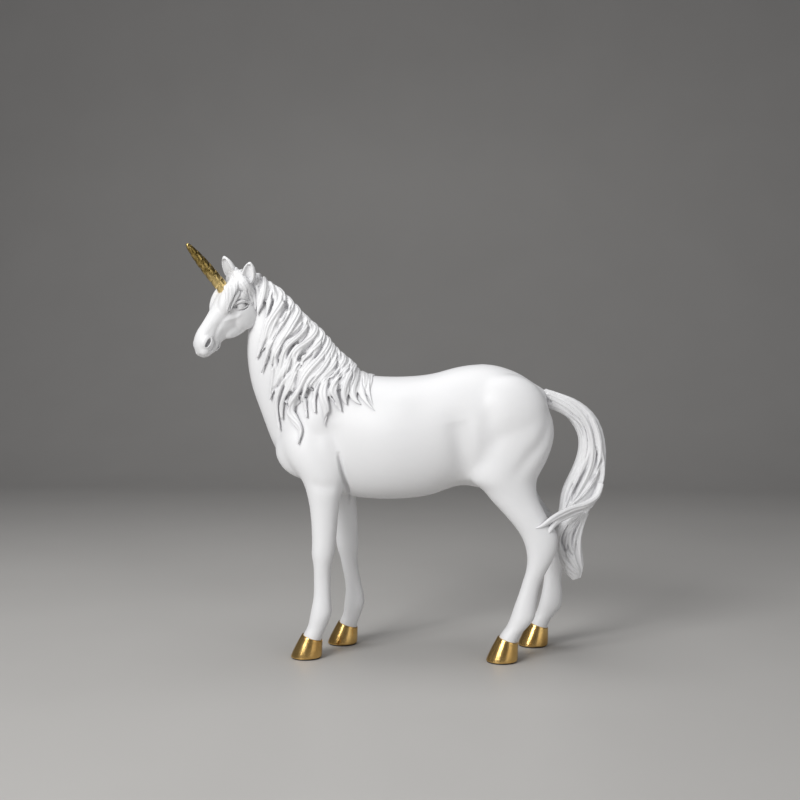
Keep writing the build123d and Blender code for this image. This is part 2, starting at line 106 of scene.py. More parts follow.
def neighbours(rows, i):
    """The rows before and after one row; at an end, the row itself stands in."""
    return rows[max(i - 1, 0)], rows[min(i + 1, len(rows) - 1)]


def only(*pieces):
    """Selects these objects and nothing else; the first becomes the active one."""
    bpy.ops.object.select_all(action="DESELECT")
    for piece in pieces:
        piece.select_set(True)
    bpy.context.view_layer.objects.active = pieces[0]
    return pieces[0]


def apply_place(piece):
    """Works an object's place, turn and size into its mesh."""
    only(piece)
    bpy.ops.object.transform_apply(location=True, rotation=True, scale=True)


def edit(on=True):
    """Enters or leaves edit mode on the active object."""
    bpy.ops.object.mode_set(mode="EDIT" if on else "OBJECT")


def select_points(piece, wanted):
    """Selects, in edit mode, the points whose numbers are wanted."""
    edit(False)
    wanted = set(wanted)
    for kind in (piece.data.polygons, piece.data.edges):
        kind.foreach_set("select", [False] * len(kind))
    points = piece.data.vertices
    points.foreach_set("select", [i in wanted for i in range(len(points))])
    edit()


def turn_selection(turn, centre):
    """Turns what is selected about a point; the rotate operator runs the other way without a window."""
    for axis, angle in zip("XYZ", turn.to_euler()):
        if abs(angle) > LEAST_ANGLE:
            bpy.ops.transform.rotate(
                value=-angle, orient_axis=axis, orient_type="GLOBAL", center_override=centre,
            )


def size_selection(half_x, half_y, turn, centre):
    """Sizes what is selected along two directions of a section about its centre."""
    bpy.ops.transform.resize(
        value=(half_x, half_y, 1), orient_type="GLOBAL", orient_matrix=turn,
        orient_matrix_type="GLOBAL", center_override=centre,
    )


def section_turn(x_dir, normal):
    """Turn of a section whose X and normal are given roughly."""
    normal = Vector(normal).normalized()
    x_dir = Vector(x_dir)
    x_dir = (x_dir - normal * x_dir.dot(normal)).normalized()
    return Matrix((x_dir, normal.cross(x_dir), normal)).transposed()


def tube(name, rings, sides=24, outline=None):
    """Closed form grown ring by ring from a disc: each ring is (centre, turn, half x, half y)."""
    bpy.ops.object.select_all(action="DESELECT")
    bpy.ops.mesh.primitive_circle_add(vertices=sides, radius=1, fill_type="NGON")
    piece = bpy.context.object
    piece.name = name
    edit()
    for numbers, size in outline or ():
        select_points(piece, numbers)
        bpy.ops.transform.resize(value=(size, size, 1), center_override=(0, 0, 0))
    bpy.ops.mesh.select_all(action="SELECT")
    centre, turn, half_x, half_y = rings[0]
    size_selection(half_x, half_y, Matrix.Identity(3), Vector((0, 0, 0)))
    turn_selection(turn, Vector((0, 0, 0)))
    bpy.ops.transform.translate(value=centre)
    for next_centre, next_turn, next_x, next_y in rings[1:]:
        step = Vector(next_centre) - Vector(centre)
        bpy.ops.mesh.extrude_region_move(TRANSFORM_OT_translate={"value": step})
        turn_selection(next_turn @ turn.inverted(), next_centre)
        size_selection(next_x / half_x, next_y / half_y, next_turn, next_centre)
        centre, turn, half_x, half_y = next_centre, next_turn, next_x, next_y
    bpy.ops.mesh.select_all(action="SELECT")
    bpy.ops.mesh.normals_make_consistent(inside=False)
    edit(False)
    return piece


def mass(name, centre, radii, tilt=(0, 0, 0), detail=24):
    """Rounded mass: a ball stretched and turned at its place."""
    bpy.ops.object.select_all(action="DESELECT")
    bpy.ops.mesh.primitive_uv_sphere_add(
        segments=detail, ring_count=detail // 2, radius=1, location=centre, scale=radii,
        rotation=[radians(angle) for angle in tilt],
    )
    piece = bpy.context.object
    piece.name = name
    apply_place(piece)
    return piece


def joined(name, pieces):
    """Several objects made one."""
    piece = only(*pieces)
    if len(pieces) > 1:
        bpy.ops.object.join()
    piece.name = name
    return piece


def with_modifier(piece, kind, **settings):
    """Adds a modifier with these settings and applies it."""
    only(piece)
    modifier = piece.modifiers.new(kind.title(), kind)
    for key, value in settings.items():
        setattr(modifier, key, value)
    bpy.ops.object.modifier_apply(modifier=modifier.name)
    return piece


def fused(name, pieces, voxel):
    """Several closed forms worked into one skin."""
    piece = joined(name, pieces)
    return with_modifier(piece, "REMESH", mode="VOXEL", voxel_size=voxel, use_smooth_shade=True)


def points_of(piece):
    """Places of a piece's points as an array."""
    places = np.empty(len(piece.data.vertices) * 3)
    piece.data.vertices.foreach_get("co", places)
    return places.reshape(-1, 3)


def weigh(piece, weights):
    """Paints weights from 0 to 1 on a piece's points and returns the group's name."""
    group = piece.vertex_groups.new(name="work")
    steps = np.rint(np.clip(weights, 0, 1) * WEIGHT_LEVELS).astype(int)
    for level in range(1, WEIGHT_LEVELS + 1):
        numbers = np.flatnonzero(steps == level)
        if len(numbers):
            group.add(numbers.tolist(), level / WEIGHT_LEVELS, "REPLACE")
    return group.name


def soften(piece, rounds, weights=None, factor=0.5):
    """Smooths a skin, everywhere or by painted weights."""
    settings = {"factor": factor, "iterations": rounds}
    if weights is not None:
        settings["vertex_group"] = weigh(piece, weights)
    with_modifier(piece, "SMOOTH", **settings)
    piece.vertex_groups.clear()


def path_distance(places, path):
    """Distance of each place from a path of points, and how far along the path it is nearest."""
    path = np.array(path, float)
    best = np.full(len(places), np.inf)
    along = np.zeros(len(places))
    for i, (start, end) in enumerate(zip(path, path[1:])):
        step = end - start
        share = np.clip(((places - start) @ step) / max(step @ step, 1e-9), 0, 1)
        distance = np.linalg.norm(places - start - share[:, None] * step, axis=1)
        nearer = distance < best
        best[nearer] = distance[nearer]
        along[nearer] = (i + share[nearer]) / (len(path) - 1)
    return best, along


def press(piece, path, width, depth):
    """Presses a groove into a skin along a path, fading at its ends; a negative depth raises a ridge."""
    places, path = points_of(piece), np.array(path, float)
    reach = width * PRESS_REACH
    inside = (places > path.min(0) - reach) & (places < path.max(0) + reach)
    near = np.flatnonzero(np.all(inside, axis=1))
    distance, along = path_distance(places[near], path)
    pressed = np.exp(-(distance / width) ** 2 * PRESS_FALL)
    pressed *= np.sqrt(np.sin(pi * np.clip(along, PRESS_END, 1 - PRESS_END)))
    pressed[distance > reach] = 0
    weights = np.zeros(len(places))
    weights[near] = pressed
    group = weigh(piece, weights)
    with_modifier(piece, "DISPLACE", strength=-depth, mid_level=0, vertex_group=group)
    piece.vertex_groups.clear()


def carve(piece, cutter, operation="DIFFERENCE", solver="EXACT"):
    """Cuts one closed form out of another, or joins it on, and removes the cutter."""
    with_modifier(piece, "BOOLEAN", operation=operation, object=cutter, solver=solver)
    bpy.data.objects.remove(cutter)
    return piece


def thin_out(piece, limit=TRIANGLE_LIMIT):
    """Merges faces where the skin is plain, down to a number of triangles."""
    triangles = sum(len(face.vertices) - 2 for face in piece.data.polygons)
    if triangles > limit:
        with_modifier(piece, "DECIMATE", ratio=limit / triangles)
    return piece


def cleaned(piece):
    """Welds points that fall together and drops the slivers and the loose crumbs that joining leaves."""
    name = piece.name
    only(piece)
    edit()
    bpy.ops.mesh.select_all(action="SELECT")
    bpy.ops.mesh.quads_convert_to_tris(quad_method="BEAUTY", ngon_method="BEAUTY")
    bpy.ops.mesh.remove_doubles(threshold=WELD)
    bpy.ops.mesh.dissolve_degenerate(threshold=WELD)
    bpy.ops.mesh.separate(type="LOOSE")
    edit(False)
    parts = list(bpy.context.selected_objects)
    for crumb in [part for part in parts if len(part.data.polygons) < CRUMB_FACES]:
        parts.remove(crumb)
        bpy.data.objects.remove(crumb)
    return joined(name, parts)


def settle(piece, material):
    """Brings a piece from millimetres to its place in the frame, with its finish and its body."""
    piece.scale = (MM, MM, MM)
    piece.location = SHIFT
    apply_place(piece)
    bpy.ops.object.shade_smooth()
    piece.data.materials.clear()
    piece.data.materials.append(material)
    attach(piece, "root")


# Shader nodes written as expressions

class Value:
    """A shader socket that takes part in sums."""

    def __init__(self, tree, socket):
        self.tree, self.socket = tree, socket

    def maths(self, operation, *others):
        return self.tree.node("ShaderNodeMath", {"operation": operation}, *others)

    def __add__(self, other):
        return self.maths("ADD", self, other)

    def __radd__(self, other):
        return self.maths("ADD", other, self)

    def __sub__(self, other):
        return self.maths("SUBTRACT", self, other)

    def __mul__(self, other):
        return self.maths("MULTIPLY", self, other)

    def __rmul__(self, other):
        return self.maths("MULTIPLY", other, self)

    def __truediv__(self, other):
        return self.maths("DIVIDE", self, other)

    def __pow__(self, other):
        return self.maths("POWER", self, other)


def socket_name(key):
    """Name of the socket that a keyword stands for."""
    return key.replace("_", " ").title().replace("Ior", "IOR")


class Finish:
    """A material under construction, with its one shader."""

    def __init__(self, name, **plain):
        self.material = bpy.data.materials.new(name)
        self.material.use_nodes = True
        self.nodes, self.links = self.material.node_tree.nodes, self.material.node_tree.links
        self.shader = self.nodes["Principled BSDF"]
        self.set(**plain)
        self.place = self.node("ShaderNodeTexCoord", {}, out="Object")

    def feed(self, node, key, value):
        """Gives one socket of a node its value, or joins another node's output to it."""
        if isinstance(value, Value):
            self.links.new(value.socket, node.inputs[key])
        else:
            node.inputs[key].default_value = value

    def node(self, kind, settings, *values, out=0, **named):
        """Adds a node: its settings first, then its sockets by order or by name; returns one output."""
        node = self.nodes.new(kind)
        for key, value in settings.items():
            setattr(node, key, value)
        for key, value in enumerate(values):
            self.feed(node, key, value)
        for key, value in named.items():
            self.feed(node, socket_name(key), value)
        return Value(self, node.outputs[out])

    def noise(self, scale, detail=3.0, roughness=0.5, place=None):
        """Cloudy pattern between 0 and 1."""
        place = place or self.place
        return self.node(
            "ShaderNodeTexNoise", {}, vector=place, scale=scale, detail=detail, roughness=roughness,
        )

    def stretched(self, scale):
        """Object place stretched along the axes."""
        return self.node("ShaderNodeMapping", {}, vector=self.place, scale=scale)

    def mix(self, share, low, high):
        """Colour a share of the way from low to high."""
        node = self.nodes.new("ShaderNodeMix")
        node.data_type = "RGBA"
        for key, value in ((0, share), (6, low), (7, high)):
            self.feed(node, key, value)
        return Value(self, node.outputs[2])

    def ramp(self, value, stops):
        """Colour ramp over a value: the stops at its ends come first, then those between."""
        colour = self.node("ShaderNodeValToRGB", {}, value)
        elements = colour.socket.node.color_ramp.elements
        for stop, (place, shade) in zip(elements, stops):
            stop.position, stop.color = place, shade
        for place, shade in stops[2:]:
            elements.new(place).color = shade
        return colour

    def set(self, **sockets):
        """Gives the shader's sockets values, or joins outputs to them."""
        for key, value in sockets.items():
            self.feed(self.shader, socket_name(key), value)

    def bump(self, height, distance, strength):
        """Relief of a height value, as a normal."""
        return self.node("ShaderNodeBump", {}, strength=strength, distance=distance, height=height)


# Colours: each pair is the darker and the lighter of a finish
LACQUER_CLOUDS = ((0.745, 0.748, 0.762, 1), (0.790, 0.790, 0.795, 1))
LACQUER_WORN = (0.81, 0.805, 0.795, 1)
# Grey of the painted shade in the grooves
GROOVE_PAINTED_SHADE = (0.50, 0.495, 0.515, 1)
# Gold from dark brown to bright yellow: partly the plating's own tone, partly painted dark reflections and
# highlights
GOLD_TONES_AND_REFLECTIONS = ((0.44, 0.22, 0.045, 1), (0.94, 0.67, 0.27, 1))
HORN_GOLD = (0.90, 0.69, 0.31, 1)
# Olive blotches of the horn: partly worn plating, partly painted dark reflections
HORN_BLOTCHES_AND_REFLECTIONS = (
    (0.34, (0.13, 0.088, 0.024, 1)), (0.66, (0.58, 0.43, 0.17, 1)), (0.50, (0.31, 0.22, 0.07, 1)),
)
STEEL_LINES = ((0.42, 0.43, 0.45, 1), (0.62, 0.63, 0.65, 1))
PAD_TOOTH = ((0.012, 0.012, 0.013, 1), (0.035, 0.034, 0.033, 1))
FLOOR_CLOUDS = ((0.46, 0.450, 0.434, 1), (0.50, 0.489, 0.472, 1))
# Painted shade in the grooves of the lacquer: how far it sees walls, in metres, and how soon it thins out
PAINTED_SHADE_REACH = 0.0028
PAINTED_SHADE_FALL = 0.8
# Marks on the horn above its bright root: how they grow with the height
MARKS_CURVE = 1.5
MARKS_GROWTH = 3.4


def white_lacquer():
    """Satin white lacquer over resin: faint clouding, orange peel, and painted shade greying the grooves.
    """
    finish = Finish("white_lacquer", coat_roughness=0.35, ior=1.46)
    cloud = finish.noise(scale=14.0, detail=4.0)
    fine = finish.noise(scale=420.0)
    peel = finish.noise(scale=900.0, detail=2.0)
    colour = finish.mix(cloud, *LACQUER_CLOUDS)
    worn = finish.mix(fine * 0.35, colour, LACQUER_WORN)
    # Painted shade: the colour greys where nearby walls close in, as in grooves, creases and gaps between
    # parts.
    open_air = finish.node("ShaderNodeAmbientOcclusion", {"samples": 8}, distance=PAINTED_SHADE_REACH, out=1)
    finish.set(
        base_color=finish.mix(open_air ** PAINTED_SHADE_FALL, GROOVE_PAINTED_SHADE, worn),
        roughness=0.40 + 0.12 * cloud + 0.05 * fine,
        coat_weight=0.08 + 0.10 * cloud,
        normal=finish.bump(peel * 0.6 + fine * 0.4, distance=0.00004, strength=0.5),
    )
    return finish.material


def gold_plate():
    """Bright gold plating: warm variation whose dark brown and bright yellow patches are partly the
    plating's tone and partly painted reflections and highlights, faint scratches and slightly dull
    patches.
    """
    finish = Finish("gold_plate", metallic=1.0)
    cloud = finish.noise(scale=60.0, detail=4.0)
    dust = finish.noise(scale=900.0)
    brushed = finish.noise(scale=80.0, detail=4.0, place=finish.stretched((8.0, 8.0, 60.0)))
    # Colour clouds: partly the plating's own tone, partly painted reflections and highlights.
    finish.set(
        base_color=finish.mix(cloud, *GOLD_TONES_AND_REFLECTIONS),
        roughness=0.13 + 0.10 * cloud + 0.06 * dust,
        normal=finish.bump(brushed * 0.5 + dust * 0.5 + cloud, distance=0.00012, strength=0.6),
    )
    return finish.material


def old_gold_plate():
    """Plating of the horn: bright at the root, with dull olive blotches above it that are partly worn
    plating and partly painted dark reflections.
    """
    finish = Finish("old_gold_plate", metallic=1.0)
    cloud = finish.noise(scale=90.0, detail=4.0)
    dust = finish.noise(scale=700.0)
    # Blotches: partly worn plating, partly painted dark reflections.
    worn = finish.ramp(finish.noise(scale=430.0), HORN_BLOTCHES_AND_REFLECTIONS)
    low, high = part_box("horn")
    height = finish.node("ShaderNodeSeparateXYZ", {}, vector=finish.place, out=2)
    rise = (height - low[2]) / (high[2] - low[2])
    above_root = rise.maths("MINIMUM", rise ** MARKS_CURVE * MARKS_GROWTH, 1.0)
    finish.set(
        base_color=finish.mix(above_root, HORN_GOLD, worn),
        roughness=0.18 + 0.10 * cloud + 0.05 * dust,
        normal=finish.bump(dust * 0.3 + cloud, distance=0.00012, strength=0.6),
    )
    return finish.material


def drawn_steel():
    """Plain steel wire with drawing marks."""
    finish = Finish("drawn_steel", metallic=1.0)
    lines = finish.noise(scale=500.0, detail=2.0, place=finish.stretched((1.0, 1.0, 0.05)))
    finish.set(
        base_color=finish.mix(lines, *STEEL_LINES),
        roughness=0.28 + 0.15 * lines,
        normal=finish.bump(lines, distance=0.00004, strength=0.5),
    )
    return finish.material


def dark_pad():
    """Thin dark non-slip pad with a fine tooth."""
    finish = Finish("dark_pad")
    tooth = finish.noise(scale=1500.0, detail=2.0)
    finish.set(
        base_color=finish.mix(tooth, *PAD_TOOTH),
        roughness=0.75 + 0.15 * tooth,
        normal=finish.bump(tooth, distance=0.0001, strength=0.5),
    )
    return finish.material


# Flesh of the trunk, neck and legs

BODY_LENGTH = 200.0
WITHERS_HEIGHT = 190.0
BARREL_DEPTH = 80.0
BARREL_WIDTH = 66.0
FRONT_STANCE = 38.0
HIND_STANCE = 43.0
LEG_DEPTH = 14.4
LEG_WIDTH = 14.0
CORONET_HEIGHT = 14.4
CORONET_SLOPE = 17.0

# Trunk from dock to poll: place along, height, half depth, half width, backward lean in degrees
TRUNK_SHARES = (
    (0.505, 0.905, 0.110, 0.130, 0),
    (0.460, 0.862, 0.280, 0.290, 0),
    (0.400, 0.834, 0.440, 0.400, 0),
    (0.310, 0.822, 0.535, 0.455, 0),
    (0.210, 0.824, 0.514, 0.455, 0),
    (0.100, 0.791, 0.524, 0.480, 0),
    (-0.025, 0.780, 0.531, 0.490, 0),
    (-0.140, 0.789, 0.539, 0.440, 2),
    (-0.225, 0.824, 0.568, 0.385, 9),
    (-0.305, 0.876, 0.575, 0.330, 17),
    (-0.358, 0.948, 0.534, 0.275, 21),
    (-0.408, 1.036, 0.455, 0.235, 24),
    (-0.458, 1.130, 0.380, 0.200, 25),
    (-0.492, 1.214, 0.300, 0.172, 21),
    (-0.512, 1.295, 0.200, 0.155, 12),
)
# Legs from inside the trunk to inside the hoof: place along, share of the
# half stance, height, half depth, half width
FRONT_LEG_SHARES = (
    (-0.300, 0.62, 0.890, 1.05, 0.55),
    (-0.302, 0.78, 0.790, 1.35, 0.80),
    (-0.285, 0.88, 0.710, 1.36, 0.86),
    (-0.256, 0.92, 0.632, 1.02, 0.82),
    (-0.252, 0.95, 0.560, 0.76, 0.69),
    (-0.251, 0.97, 0.490, 0.64, 0.59),
    (-0.252, 1.00, 0.420, 0.57, 0.52),
    (-0.255, 1.00, 0.368, 0.54, 0.51),
    (-0.257, 1.00, 0.326, 0.43, 0.43),
    (-0.258, 1.00, 0.274, 0.40, 0.35),
    (-0.258, 1.00, 0.221, 0.41, 0.35),
    (-0.261, 1.00, 0.165, 0.50, 0.44),
    (-0.267, 1.00, 0.138, 0.48, 0.45),
    (-0.276, 1.00, 0.110, 0.45, 0.42),
    (-0.287, 1.00, 0.087, 0.46, 0.44),
    (-0.302, 1.00, 0.050, 0.50, 0.48),
)
HIND_LEG_SHARES = (
    (0.370, 0.50, 0.955, 0.85, 0.55),
    (0.394, 0.62, 0.880, 1.60, 1.05),
    (0.390, 0.66, 0.790, 1.86, 1.20),
    (0.374, 0.70, 0.710, 1.78, 1.16),
    (0.352, 0.76, 0.637, 1.58, 1.00),
    (0.373, 0.80, 0.600, 1.27, 0.86),
    (0.392, 0.84, 0.562, 1.12, 0.76),
    (0.435, 0.92, 0.498, 0.93, 0.64),
    (0.468, 0.98, 0.447, 0.86, 0.57),
    (0.477, 1.00, 0.400, 0.73, 0.53),
    (0.472, 1.00, 0.357, 0.59, 0.49),
    (0.460, 1.00, 0.318, 0.48, 0.43),
    (0.447, 1.00, 0.284, 0.44, 0.37),
    (0.436, 1.00, 0.246, 0.44, 0.36),
    (0.424, 1.00, 0.196, 0.51, 0.40),
    (0.414, 1.00, 0.154, 0.56, 0.45),
    (0.397, 1.00, 0.124, 0.50, 0.43),
    (0.378, 1.00, 0.100, 0.46, 0.43),
    (0.366, 1.00, 0.078, 0.46, 0.45),
    (0.354, 1.00, 0.050, 0.48, 0.48),
)
# Height, and how far back the right leg stands from the left one there
FRONT_BACK_SHARES = ((0.0, 0.107), (0.20, 0.090), (0.35, 0.064), (0.50, 0.046), (0.70, 0.015), (1.0, 0.0))
HIND_BACK_SHARES = (
    (0.0, 0.128), (0.20, 0.110), (0.35, 0.080), (0.43, 0.053),
    (0.50, 0.028), (0.60, 0.009), (0.75, 0.0), (1.0, 0.0),
)

# Muscles on both sides, in millimetres: place on the left side, half sizes, lean about the side axis
MUSCLES = {
    "shoulder_blade": ((-50, -15.5, 163), (17, 10.5, 34), 34),
    "shoulder_point": ((-64, -12.0, 146), (18, 12.5, 20), 25),
    "triceps": ((-48, -17.0, 137), (16, 11.0, 22), -14),
    "breast": ((-64.3, -9.2, 138.8), (22.0, 12.2, 19), 22),
    "ribs": ((4, -15, 150), (44, 17, 33), 0),
    "haunch": ((73, -14.5, 163), (29, 17.5, 29), 0),
    "thigh": ((67, -16.0, 141), (21, 13.5, 30), -10),
    "buttock": ((88, -12.5, 150), (16, 13.5, 26), 8),
    "gaskin": ((77, -17.5, 114), (13.5, 9.5, 22), -30),
}
FRONT_MUSCLES = ("shoulder_blade", "shoulder_point", "triceps", "breast")
# Softening: the height where it grows from the legs into the trunk, and a leg's share of it
LEGS_END = 84
LEGS_BLEND = 36
LEG_SOFTNESS = 0.03


def table_value(table, place):
    """Second column of a table at a place between its rows."""
    places, values = zip(*table)
    return float(np.interp(place, places, values))


def right_back(front, left, height):
    """How far back the right side stands at a height; nothing on the left side. All are shares."""
    return 0 if left else table_value(FRONT_BACK_SHARES if front else HIND_BACK_SHARES, height)


def trunk_weights(piece, least):
    """Weights of a skin's points: least in the legs, growing to 1 in the trunk."""
    return np.clip((points_of(piece)[:, 2] - LEGS_END) / LEGS_BLEND, least, 1)


def trunk():
    """Trunk and neck, ring by ring from dock to poll."""
    rings = []
    for along, height, depth, width, lean in smooth_rows(TRUNK_SHARES, steps=4):
        tilt = radians(lean)
        turn = section_turn((sin(tilt), 0, cos(tilt)), (-cos(tilt), 0, sin(tilt)))
        centre = Vector((along * BODY_LENGTH, 0, height * WITHERS_HEIGHT))
        rings.append((centre, turn, depth * BARREL_DEPTH, width * BARREL_WIDTH))
    return tube("trunk", rings, sides=40)


def leg_rows(front, left):
    """Stations of one leg: centre, half depth and half width of each."""
    table = FRONT_LEG_SHARES if front else HIND_LEG_SHARES
    stance = (FRONT_STANCE if front else HIND_STANCE) / 2
    rows = []
    for along, out, height, depth, width in smooth_rows(table, steps=3):
        x = (along + right_back(front, left, height)) * BODY_LENGTH
        centre = Vector((x, (-out if left else out) * stance, height * WITHERS_HEIGHT))
        rows.append((centre, depth * LEG_DEPTH, width * LEG_WIDTH))
    return rows


def leg(front, left):
    """One leg from inside the trunk to inside the hoof."""
    turn = section_turn((1, 0, 0), (0, 0, -1))
    return tube("leg", [(centre, turn, depth, width) for centre, depth, width in leg_rows(front, left)])


def muscles():
    """The muscle masses of both sides."""
    masses = []
    for name, ((x, y, z), radii, lean) in MUSCLES.items():
        for side in (-1, 1):
            back = right_back(name in FRONT_MUSCLES, side < 0, z / WITHERS_HEIGHT) * BODY_LENGTH
            masses.append(mass(name, (x + back, abs(y) * side, z), radii, (0, lean, 0)))
    return masses


# Hollows and ridges of both sides: half width, depth, in front or behind, then places along and up
CREASES = (
    (7.0, 1.1, True, ((-43.0, 158.0), (-42.2, 147.4), (-40.1, 134.5))),
    (5.0, 1.0, True, ((-58.0, 119.0), (-50.0, 116.5), (-42.0, 116.0))),
    (9.0, 2.6, False, ((37.5, 160.0), (41.5, 144.0), (45.5, 119.4))),
    (6.0, -0.8, False, ((52.5, 163.0), (52.0, 142.0), (51.0, 124.4))),
    (8.0, 0.4, False, ((67.0, 174.0), (59.1, 156.8))),
    (6.5, 1.4, False, ((102.2, 167.8), (96.9, 148.4), (87.3, 136.8), (76.2, 122.5))),
)
# Sharp folds, pressed last
FOLDS = (
    (1.9, 3.2, True, ((-39.5, 138.0), (-37.6, 128.0), (-35.8, 118.0), (-35.2, 112.4), (-36.8, 102.0))),
)
# How far out at the side the search for the skin starts
CREASE_REACH = 200


def crease(piece, table):
    """Presses the hollows between the muscles into both sides."""
    tree = skin_search(piece)
    for half_width, depth, front, route in table:
        for side in (-1, 1):
            path = []
            for x, z in smooth_rows(route, steps=4):
                back = right_back(front, side < 0, z / WITHERS_HEIGHT) * BODY_LENGTH
                place = tree.ray_cast(Vector((x + back, CREASE_REACH * side, z)), Vector((0, -side, 0)))[0]
                if place is not None:
                    path.append(place)
            if len(path) > 1:
                press(piece, path, half_width, depth)
    return piece


def flesh():
    """Trunk, legs and muscles worked into one and softened, the legs less than the trunk."""
    legs = [leg(front, left) for front in (True, False) for left in (True, False)]
    piece = fused("flesh", [trunk(), *legs, *muscles()], FLESH_VOXEL)
    soften(piece, rounds=34, weights=trunk_weights(piece, LEG_SOFTNESS))
    return piece


def skin():
    """The white casting of trunk, neck and legs."""
    piece = crease(flesh(), CREASES)
    soften(piece, rounds=12, weights=trunk_weights(piece, 0.0))
    piece = crease(fused("white_casting", [piece], SKIN_VOXEL), FOLDS)
    soften(piece, rounds=3, factor=0.4)
    return piece


# Head, modelled level at the origin: X towards the muzzle, Y to the left, Z out of the forehead

POLL = Vector((-104.0, -1.33, 258.05))
HEAD_PITCH = 54.0
HEAD_TURN = 42.0
# Skull from poll to lips: place along, lift of the centre, half depth, half width; then the points
# of its section that are pushed out, which makes it squarer, and how far
SKULL_ROWS = (
    (-3.0, 1.0, 5.0, 5.0),
    (1.5, 0.6, 9.6, 8.0),
    (9.0, -1.5, 12.6, 10.2),
    (19.0, -1.9, 15.2, 11.0),
    (26.0, -1.5, 15.2, 10.8),
    (33.0, -1.0, 13.6, 9.6),
    (40.0, 0.2, 11.6, 8.3),
    (47.0, 1.8, 9.6, 7.2),
    (54.0, 2.4, 8.6, 7.2),
    (59.5, 1.6, 7.6, 7.4),
    (63.5, 0.6, 5.6, 6.2),
    (66.2, -0.6, 2.4, 3.4),
)
SKULL_SIDES = 32
SKULL_OUTLINE = (([i for i in range(SKULL_SIDES) if i % 8 in (3, 4, 5)], 1.05), ([4, 28], 1.03))
# Masses of both sides: place on the left, half sizes, tilt
HEAD_MASSES = {
    "brow": ((24.5, 6.3, 7.4), (13.0, 5.4, 7.0), (0, 12, 0)),
    "eyelid": ((17.4, 9.3, 2.4), (5.2, 3.9, 4.6), (0, 0, 0)),
    "temple": ((12.0, 8.2, 5.0), (8.0, 4.0, 6.0), (0, 0, 0)),
    "cheek": ((23.0, 7.6, -7.2), (13.5, 4.6, 10.4), (0, 10, 0)),
    "jaw": ((35.0, 5.0, -9.4), (13.0, 3.0, 5.0), (0, -20, 0)),
    "nostril_wing": ((58.6, 5.6, 3.4), (5.2, 3.0, 4.2), (0, 20, -8)),
    "lip": ((62.0, 3.0, 0.2), (4.6, 4.0, 4.0), (0, 0, 0)),
    "chin": ((56.2, 1.6, -4.4), (5.6, 3.5, 3.0), (0, -14, 0)),
}
EYE_PLACE = (24.2, 10.6, 0.0)
EYE_RADIUS = 3.6
# Where the eyeball lies from the eye's middle: inwards and back
EYE_SINK = 2.0
EYE_SET_BACK = 0.3
# Direction out of the eye: ahead and up, against one to the side
EYE_AHEAD = 0.10
EYE_UP = 0.16
SOCKET_OUT = 1.2
SOCKET_RADII = (6.2, 3.2, 3.4)
# Folds of the lids: rise above the eye's middle, sink, start and end angle, half length, half height,
# thickness, bow
LID_ROWS = (
    (0.0, 0.15, -8, 188, 6.0, 2.50, 1.05, 1.5),
    (2.3, 0.30, 10, 172, 6.8, 2.90, 1.00, 1.4),
    (0.0, 0.55, -6, -174, 5.4, 2.10, 0.70, 0.9),
    (-1.5, 0.95, -18, -165, 5.8, 2.30, 0.60, 0.7),
)
EYE_SLANT = 40.0
# Thickness of a lid's roll at its ends, as a share
ROLL_END = 0.45
NOSTRIL_PLACE = (58.7, 7.9, 3.1)
NOSTRIL_RADII = (3.5, 4.4, 1.5)
NOSTRIL_TILT = 6
# Each ear's root and tip, then its stations: share along, half width, half thickness
EAR_ENDS = (
    ((7.9, 8.0, 3.0), (-3.5, 13.0, 12.9)),
    ((5.9, -7.0, 7.0), (-2.9, -8.2, 23.3)),
)
EAR_ROWS = (
    (0.0, 2.6, 2.2), (0.15, 3.8, 3.0), (0.35, 4.9, 3.5), (0.55, 4.8, 3.3), (0.75, 3.9, 2.6),
    (0.9, 2.3, 1.6), (1.0, 0.7, 0.6),
)
EAR_FORWARD = (1, 0.35, 0)
EAR_WALL = 1.15
# The ear's hollow: its first and last share along, how far forward it lies and how deep it is
HOLLOW_START, HOLLOW_END = 0.12, 0.93
HOLLOW_FORWARD = 0.95
HOLLOW_DEEP = 1.05
# Creases and ridges of the face: half width, depth, then pixels
FACE_RELIEF_PIXELS = (
    (2.2, 0.45, ((229, 314), (226, 318), (222, 322), (218, 328), (215.6, 335), (215, 343))),
    (1.9, -0.6, ((222, 321.6), (229, 319.4), (236, 317.4), (242, 313.4))),
    (0.9, 0.9, ((213.6, 337.6), (215, 342), (213.6, 348), (209.4, 351))),
    (0.8, 1.6, ((220.4, 341.4), (219.4, 345.4), (217.4, 349.4), (214.4, 352.6), (210, 355.4))),
    (0.9, 2.2, ((230.2, 309.9), (232.6, 307.4), (235.0, 305.6))),
    (1.2, -0.6, ((211, 337.6), (212.8, 342), (211.4, 347))),
)


def head_matrix():
    """Matrix from the level head to its place on the neck."""
    turn, pitch = radians(HEAD_TURN), radians(HEAD_PITCH)
    muzzle = Vector((-cos(turn) * cos(pitch), -sin(turn) * cos(pitch), -sin(pitch)))
    out = Vector((-cos(turn) * sin(pitch), -sin(turn) * sin(pitch), cos(pitch)))
    return Matrix.Translation(POLL) @ Matrix((muzzle, out.cross(muzzle), out)).transposed().to_4x4()


HEAD_MATRIX = head_matrix()


def ear(root, tip):
    """Pointed ear, hollowed from the front."""
    root, tip = Vector(root), Vector(tip)
    axis = (tip - root).normalized()
    turn = section_turn(Vector(EAR_FORWARD).cross(axis), axis)
    forward = axis.cross(turn.col[0])
    forward = forward if forward.x > 0 else -forward
    outer, inner = [], []
    for place, wide, thick in smooth_rows(EAR_ROWS, steps=3):
        centre = root + (tip - root) * place
        outer.append((centre, turn, wide, thick))
        if HOLLOW_START < place < HOLLOW_END:
            hollow = centre + forward * thick * HOLLOW_FORWARD
            inner.append((hollow, turn, wide - EAR_WALL, thick * HOLLOW_DEEP))
    return carve(tube("ear", outer, sides=20), tube("ear_hollow", inner, sides=20))


